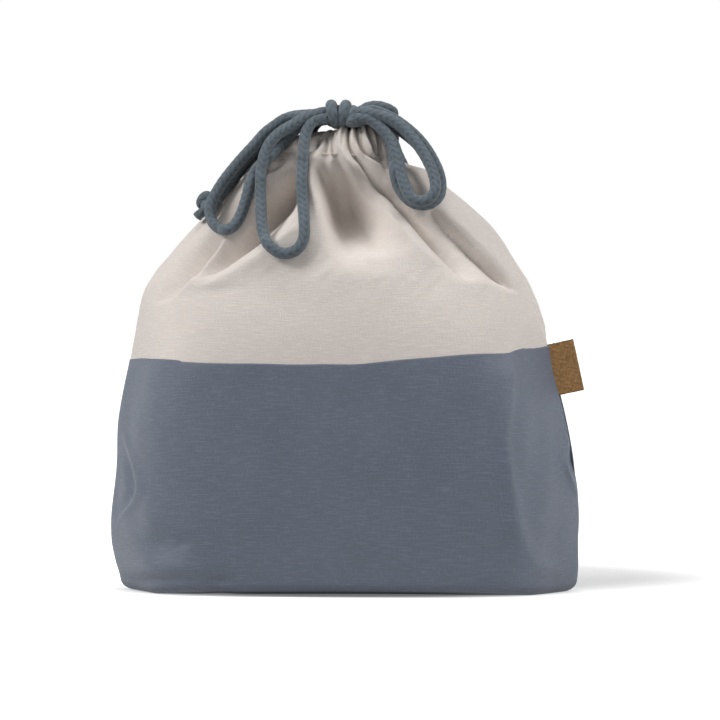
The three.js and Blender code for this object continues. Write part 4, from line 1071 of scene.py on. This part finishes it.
def make_bow_knot(bag):
    things = [cord_tube(f"bow_knot_wrap_{number}", wrap_route(*wrap), bag.cord / 2, closed=True)[0]
              for number, wrap in enumerate(KNOT_WRAPS)]
    x, y, z = KNOT_MIDDLE
    core = np.array([(x + step, y, z) for step in (-4.5, -1.5, 1.5, 4.5)]) * MM
    things.append(cord_tube("bow_knot_core", core, 4.2 * MM)[0])
    for thing in things:
        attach(thing, "bag")
    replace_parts(things[0], "bow_knot")
    return things


def make_end_knot(bag, which):
    """A trefoil of cord, x = sin t + 2 sin 2t, y = cos t - 2 cos 2t, z = -sin 3t, with two cut ends."""
    t = np.arange(42) * math.tau / 42
    flat, high = 1.45 * MM, 2.5 * MM
    knot = np.stack([flat * (np.sin(t) + 2 * np.sin(2 * t)), flat * (np.cos(t) - 2 * np.cos(2 * t)),
                     -high * np.sin(3 * t)], -1)
    middle = np.array(END_KNOTS[which]) * MM
    axis = {"left": (-0.6, -0.2, -0.75), "right": (0.3, 0.6, -0.75)}[which]
    turn = Vector((0, 0, 1)).rotation_difference(Vector(axis)).to_matrix()
    knot = knot @ np.array(turn).T + middle
    things = [cord_tube(f"{which}_end_knot_braid", knot, 2.7 * MM, closed=True)[0]]
    ends = {"left": [(-6, -1.5, -6.6), (1.5, 4, -6)], "right": [(1, 6, -7.5), (5, 3, -8)]}[which]
    for number, end in enumerate(ends):
        reach = np.array(end) * MM
        bow = np.array([0, 0, 0.6 * MM]) * (1 if number else -1)
        route = np.stack([middle, middle + reach * 0.5 + bow, middle + reach * 0.85, middle + reach * 1.12])
        things.append(cord_tube(f"{which}_cut_end_{number}", route, 2.6 * MM, ends=(0.85, 0.3))[0])
    for thing in things:
        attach(thing, which + "_tails")
    return things


# The tag

def make_tag(bag):
    """A strip folded in two: two flat leaves joined by a half circle, its ends inside the right seam."""
    half, hidden, rows, columns, bends = 0.8 * MM, 3 * MM, 70, 34, 18
    straight = np.linspace(-hidden, bag.tag_reach - half, columns)
    bend = np.linspace(-math.pi / 2, math.pi / 2, bends)[1:-1]
    out = np.concatenate([straight, bag.tag_reach - half + half * np.cos(bend), straight[::-1]])[None, :]
    side = np.concatenate([np.full(columns, -half), half * np.sin(bend), np.full(columns, half)])
    up = np.linspace(0, bag.tag_height, rows)[:, None]
    middle = bag.tag_height / 2
    ragged = 0.12 * MM * soft_noise(out, side * 3, 1.6 * MM, 21)
    near_end = smooth(np.abs(up - middle), bag.tag_height * 0.3, middle)
    rise = up + ragged * np.where(up > middle, 1, -1) * near_end
    bowed = 0.5 * MM * np.sin(math.pi * up / bag.tag_height) * smooth(out, 0, bag.tag_reach)
    local = np.stack(np.broadcast_arrays(out + 0 * up, side + bowed, rise), -1)
    local -= grid_normals(local) * (0.05 * MM * soft_noise(out, up, 2 * MM, 8))[..., None]

    top = bag.coated_height + bag.coated_rise + 0.7 * MM
    low, high = (body_point(bag, FRONT, np.ones(1), np.array([z]))[0] for z in (top - bag.tag_height, top))
    along = (high - low) / np.linalg.norm(high - low)
    place = low + local @ np.stack([np.cross([0, 1, 0], along), [0, 1, 0], along])
    u, v = run_lengths(place)
    edge = np.minimum(np.minimum(up, bag.tag_height - up), 3 * MM)
    rubbed = np.maximum(1 - edge / (0.9 * MM), 1 - np.abs(out - bag.tag_reach) / (1.1 * MM)).clip(0, 1)
    thing = cloth_sheet("folded_tag", place, np.full(place.shape[:2], 0.65 * MM), np.stack([u, v], -1) / MM,
                        cork_sheet(), {"edge": rubbed})
    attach(thing, "tag")
    return thing


# The stage

SOFTBOXES = {
    # name: place, size and watts
    "left_softbox": ((-1.4, -0.7, 1.4), 0.7, 24.5),
    "right_softbox": ((1.5, -0.3, 1.15), 0.8, 17.5),
    "top_softbox": ((-0.1, -0.2, 1.8), 0.7, 7.5),
    "front_softbox": ((-0.2, -2.0, 0.8), 0.8, 1.5),
}
LIT_POINT = (0, 0, 0.12)                # where they all aim
PICTURE_WIDTH = 720 * 0.5225 * MM       # what the camera sees from side to side, at the bag
AIM_RIGHT = 6.6                         # mm to the right of the bag's middle at which it aims
FLOOR_SIZE = 6                          # from the middle to each side


def area_light(name, place, size, watts):
    light = bpy.data.lights.new(name, "AREA")
    light.shape, light.size, light.energy = "SQUARE", size, watts
    thing = add_object(name, light)
    thing.location = place
    thing.rotation_euler = (Vector(LIT_POINT) - Vector(place)).to_track_quat("-Z", "Y").to_euler()


def camera_or_mirror(tree):
    """1 for rays from the camera and for mirrored and transmitted ones, else 0."""
    rays = node(tree, "LightPath").outputs
    bounced = node(tree, "Math", [rays["Is Glossy Ray"], rays["Is Transmission Ray"]], operation="ADD")
    return node(tree, "Math", [rays["Is Camera Ray"], bounced], operation="ADD", use_clamp=True)


def floor_material():
    """Seamless white paper that glows white for the camera, with a painted shadow: near the bag the glow
    drops to the lower of two soft steps, a painted shadow round the bag's right and a painted contact shadow
    under its base."""
    material, tree = new_material("white_paper")
    paper = node(tree, "BsdfDiffuse", {"Color": (0.55, 0.55, 0.55, 1)})
    place = node(tree, "TexCoord").outputs["Object"]
    away = node(tree, "VectorMath", [place, (0.05, 0.12, 0)], operation="DISTANCE").outputs["Value"]
    squeezed = node(tree, "VectorMath", [place, (0.52, 1, 1)], operation="MULTIPLY")
    near = node(tree, "VectorMath", [squeezed], operation="LENGTH").outputs["Value"]
    # painted shadow: two soft steps that lower the floor's glow, one round the bag's right and one under its
    # base
    painted_shadow_steps = [node(tree, "MapRange", row, interpolation_type="SMOOTHSTEP")
             for row in ([away, 0.09, 0.21, 0.36, 1.2], [near, 0.045, 0.085, 0.16, 1.2])]
    glow_with_painted_shadow = node(tree, "Math", painted_shadow_steps, operation="MINIMUM")
    shown = node(tree, "Math", [glow_with_painted_shadow, camera_or_mirror(tree)], operation="MULTIPLY")
    light = node(tree, "Emission", {"Color": (1, 1, 1, 1), "Strength": shown})
    node(tree, "OutputMaterial", {"Surface": node(tree, "AddShader", [paper, light])})
    return material


def make_stage():
    scene = bpy.context.scene
    scene.view_settings.view_transform = "Standard"
    corners = FLOOR_SIZE * np.array([(-1, -1, 0), (1, -1, 0), (1, 1, 0), (-1, 1, 0)])
    make_object("floor", corners, [np.arange(4)[None, :]], material=floor_material())

    world = bpy.data.worlds.new("white_room")
    world.use_nodes = True
    tree = world.node_tree
    tree.nodes.clear()
    strength = node(tree, "Mix", {0: camera_or_mirror(tree), 2: 0.09, 3: 1.0}, data_type="FLOAT")
    sky = node(tree, "Background", {"Color": (1, 1, 1, 1), "Strength": strength})
    node(tree, "OutputWorld", {"Surface": sky})
    scene.world = world

    for name, softbox in SOFTBOXES.items():
        area_light(name, *softbox)

    camera = bpy.data.cameras.new("camera")
    camera.sensor_width = 36
    camera.lens = camera.sensor_width * VIEW_DISTANCE / PICTURE_WIDTH
    thing = add_object("camera", camera)
    right = Vector((math.cos(SEEN_FROM), math.sin(SEEN_FROM), 0))
    aim = right * AIM_RIGHT * MM + Vector((0, 0, CENTRE_SEEN))
    back = Vector((math.sin(SEEN_FROM) * math.cos(VIEW_TILT), -math.cos(SEEN_FROM) * math.cos(VIEW_TILT),
                   math.sin(VIEW_TILT)))
    thing.location = aim + back * VIEW_DISTANCE
    thing.rotation_euler = (-back).to_track_quat("-Z", "Y").to_euler()
    scene.camera = thing


# Operators

def piece_operator(label, name, description, make):
    """An operator class that runs make()."""

    def execute(self, context):
        make(bag_sizes())
        return {"FINISHED"}

    return type(f"LUNCHBAG_OT_{name}", (bpy.types.Operator,), {
        "__doc__": description, "bl_idname": f"lunch_bag.{name}", "bl_label": label, "bl_options": {"UNDO"},
        "execute": execute})


def make_upper_canvas(bag):
    front = make_upper(bag, FRONT, "upper_front_canvas")
    back = make_upper(bag, BACK, "upper_back_canvas")
    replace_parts(front, "upper_front_panel", "front_channel")
    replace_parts(back, "upper_back_panel", "back_channel")


def make_coated_cloth(bag):
    for facing, word in ((FRONT, "front"), (BACK, "back")):
        cloth = make_lower(bag, facing, f"lower_{word}_cloth")
        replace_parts(cloth, f"lower_{word}_panel")


def make_drawcords(bag):
    for name in DRAWCORD_LEADS:
        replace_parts(make_drawcord(bag, name), name)


def make_loops(bag):
    for name in CORD_ROUTES:
        if name.endswith("loop"):
            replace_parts(make_strand(bag, name), name)


def make_tails(bag):
    for which in ("left", "right"):
        knot, *ends = make_end_knot(bag, which)
        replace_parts(knot, f"{which}_end_knot")
        for level in ("upper", "lower"):
            name = f"{which}_{level}_tail"
            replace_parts(make_strand(bag, name), name)


def make_folded_tag(bag):
    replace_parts(make_tag(bag), "cork_tag")


OPERATORS = [
    piece_operator("Stage", "stage", "White floor and room, four softboxes and the camera",
                   lambda bag: make_stage()),
    piece_operator("Drawcords", "drawcords", "The two cords in the hem, up to the knot", make_drawcords),
    piece_operator("Bow Loops", "loops", "The bow's four loops", make_loops),
    piece_operator("Tails", "tails", "The bow's four tails and the knots at their ends", make_tails),
    piece_operator("Bow Knot", "bow_knot", "The wraps of the bow's knot", make_bow_knot),
    piece_operator("Coated Cloth", "coated_cloth", "The coated lower half, front and back",
                   make_coated_cloth),
    piece_operator("Canvas", "canvas", "The gathered upper half with its hem, front and back",
                   make_upper_canvas),
    piece_operator("Tag", "tag", "The folded cork tag in the right seam", make_folded_tag),
]


class LUNCHBAG_PT_panel(bpy.types.Panel):
    """The bag's sizes, colours and pieces, in the 3D view's sidebar."""
    bl_label = "Lunch Bag"
    bl_idname = "LUNCHBAG_PT_panel"
    bl_space_type = "VIEW_3D"
    bl_region_type = "UI"
    bl_category = "Lunch Bag"

    def draw(self, context):
        for group in (bag_sizes(), look()):
            for key in group.__annotations__:
                self.layout.prop(group, key)
        for operator in OPERATORS:
            self.layout.operator(operator.bl_idname)


CLASSES = [BagSizes, BagColours, *OPERATORS, LUNCHBAG_PT_panel]


def register():
    for item in CLASSES:
        bpy.utils.register_class(item)
    bpy.types.Scene.lunch_bag_sizes = PointerProperty(type=BagSizes)
    bpy.types.Scene.lunch_bag_colours = PointerProperty(type=BagColours)


def unregister():
    del bpy.types.Scene.lunch_bag_colours
    del bpy.types.Scene.lunch_bag_sizes
    for item in reversed(CLASSES):
        bpy.utils.unregister_class(item)


def main():
    register()
    bpy.ops.lunch_bag.stage()
    bpy.ops.lunch_bag.drawcords()
    bpy.ops.lunch_bag.loops()
    bpy.ops.lunch_bag.tails()
    bpy.ops.lunch_bag.bow_knot()
    bpy.ops.lunch_bag.coated_cloth()
    bpy.ops.lunch_bag.canvas()
    bpy.ops.lunch_bag.tag()


if __name__ == "__main__":
    main()
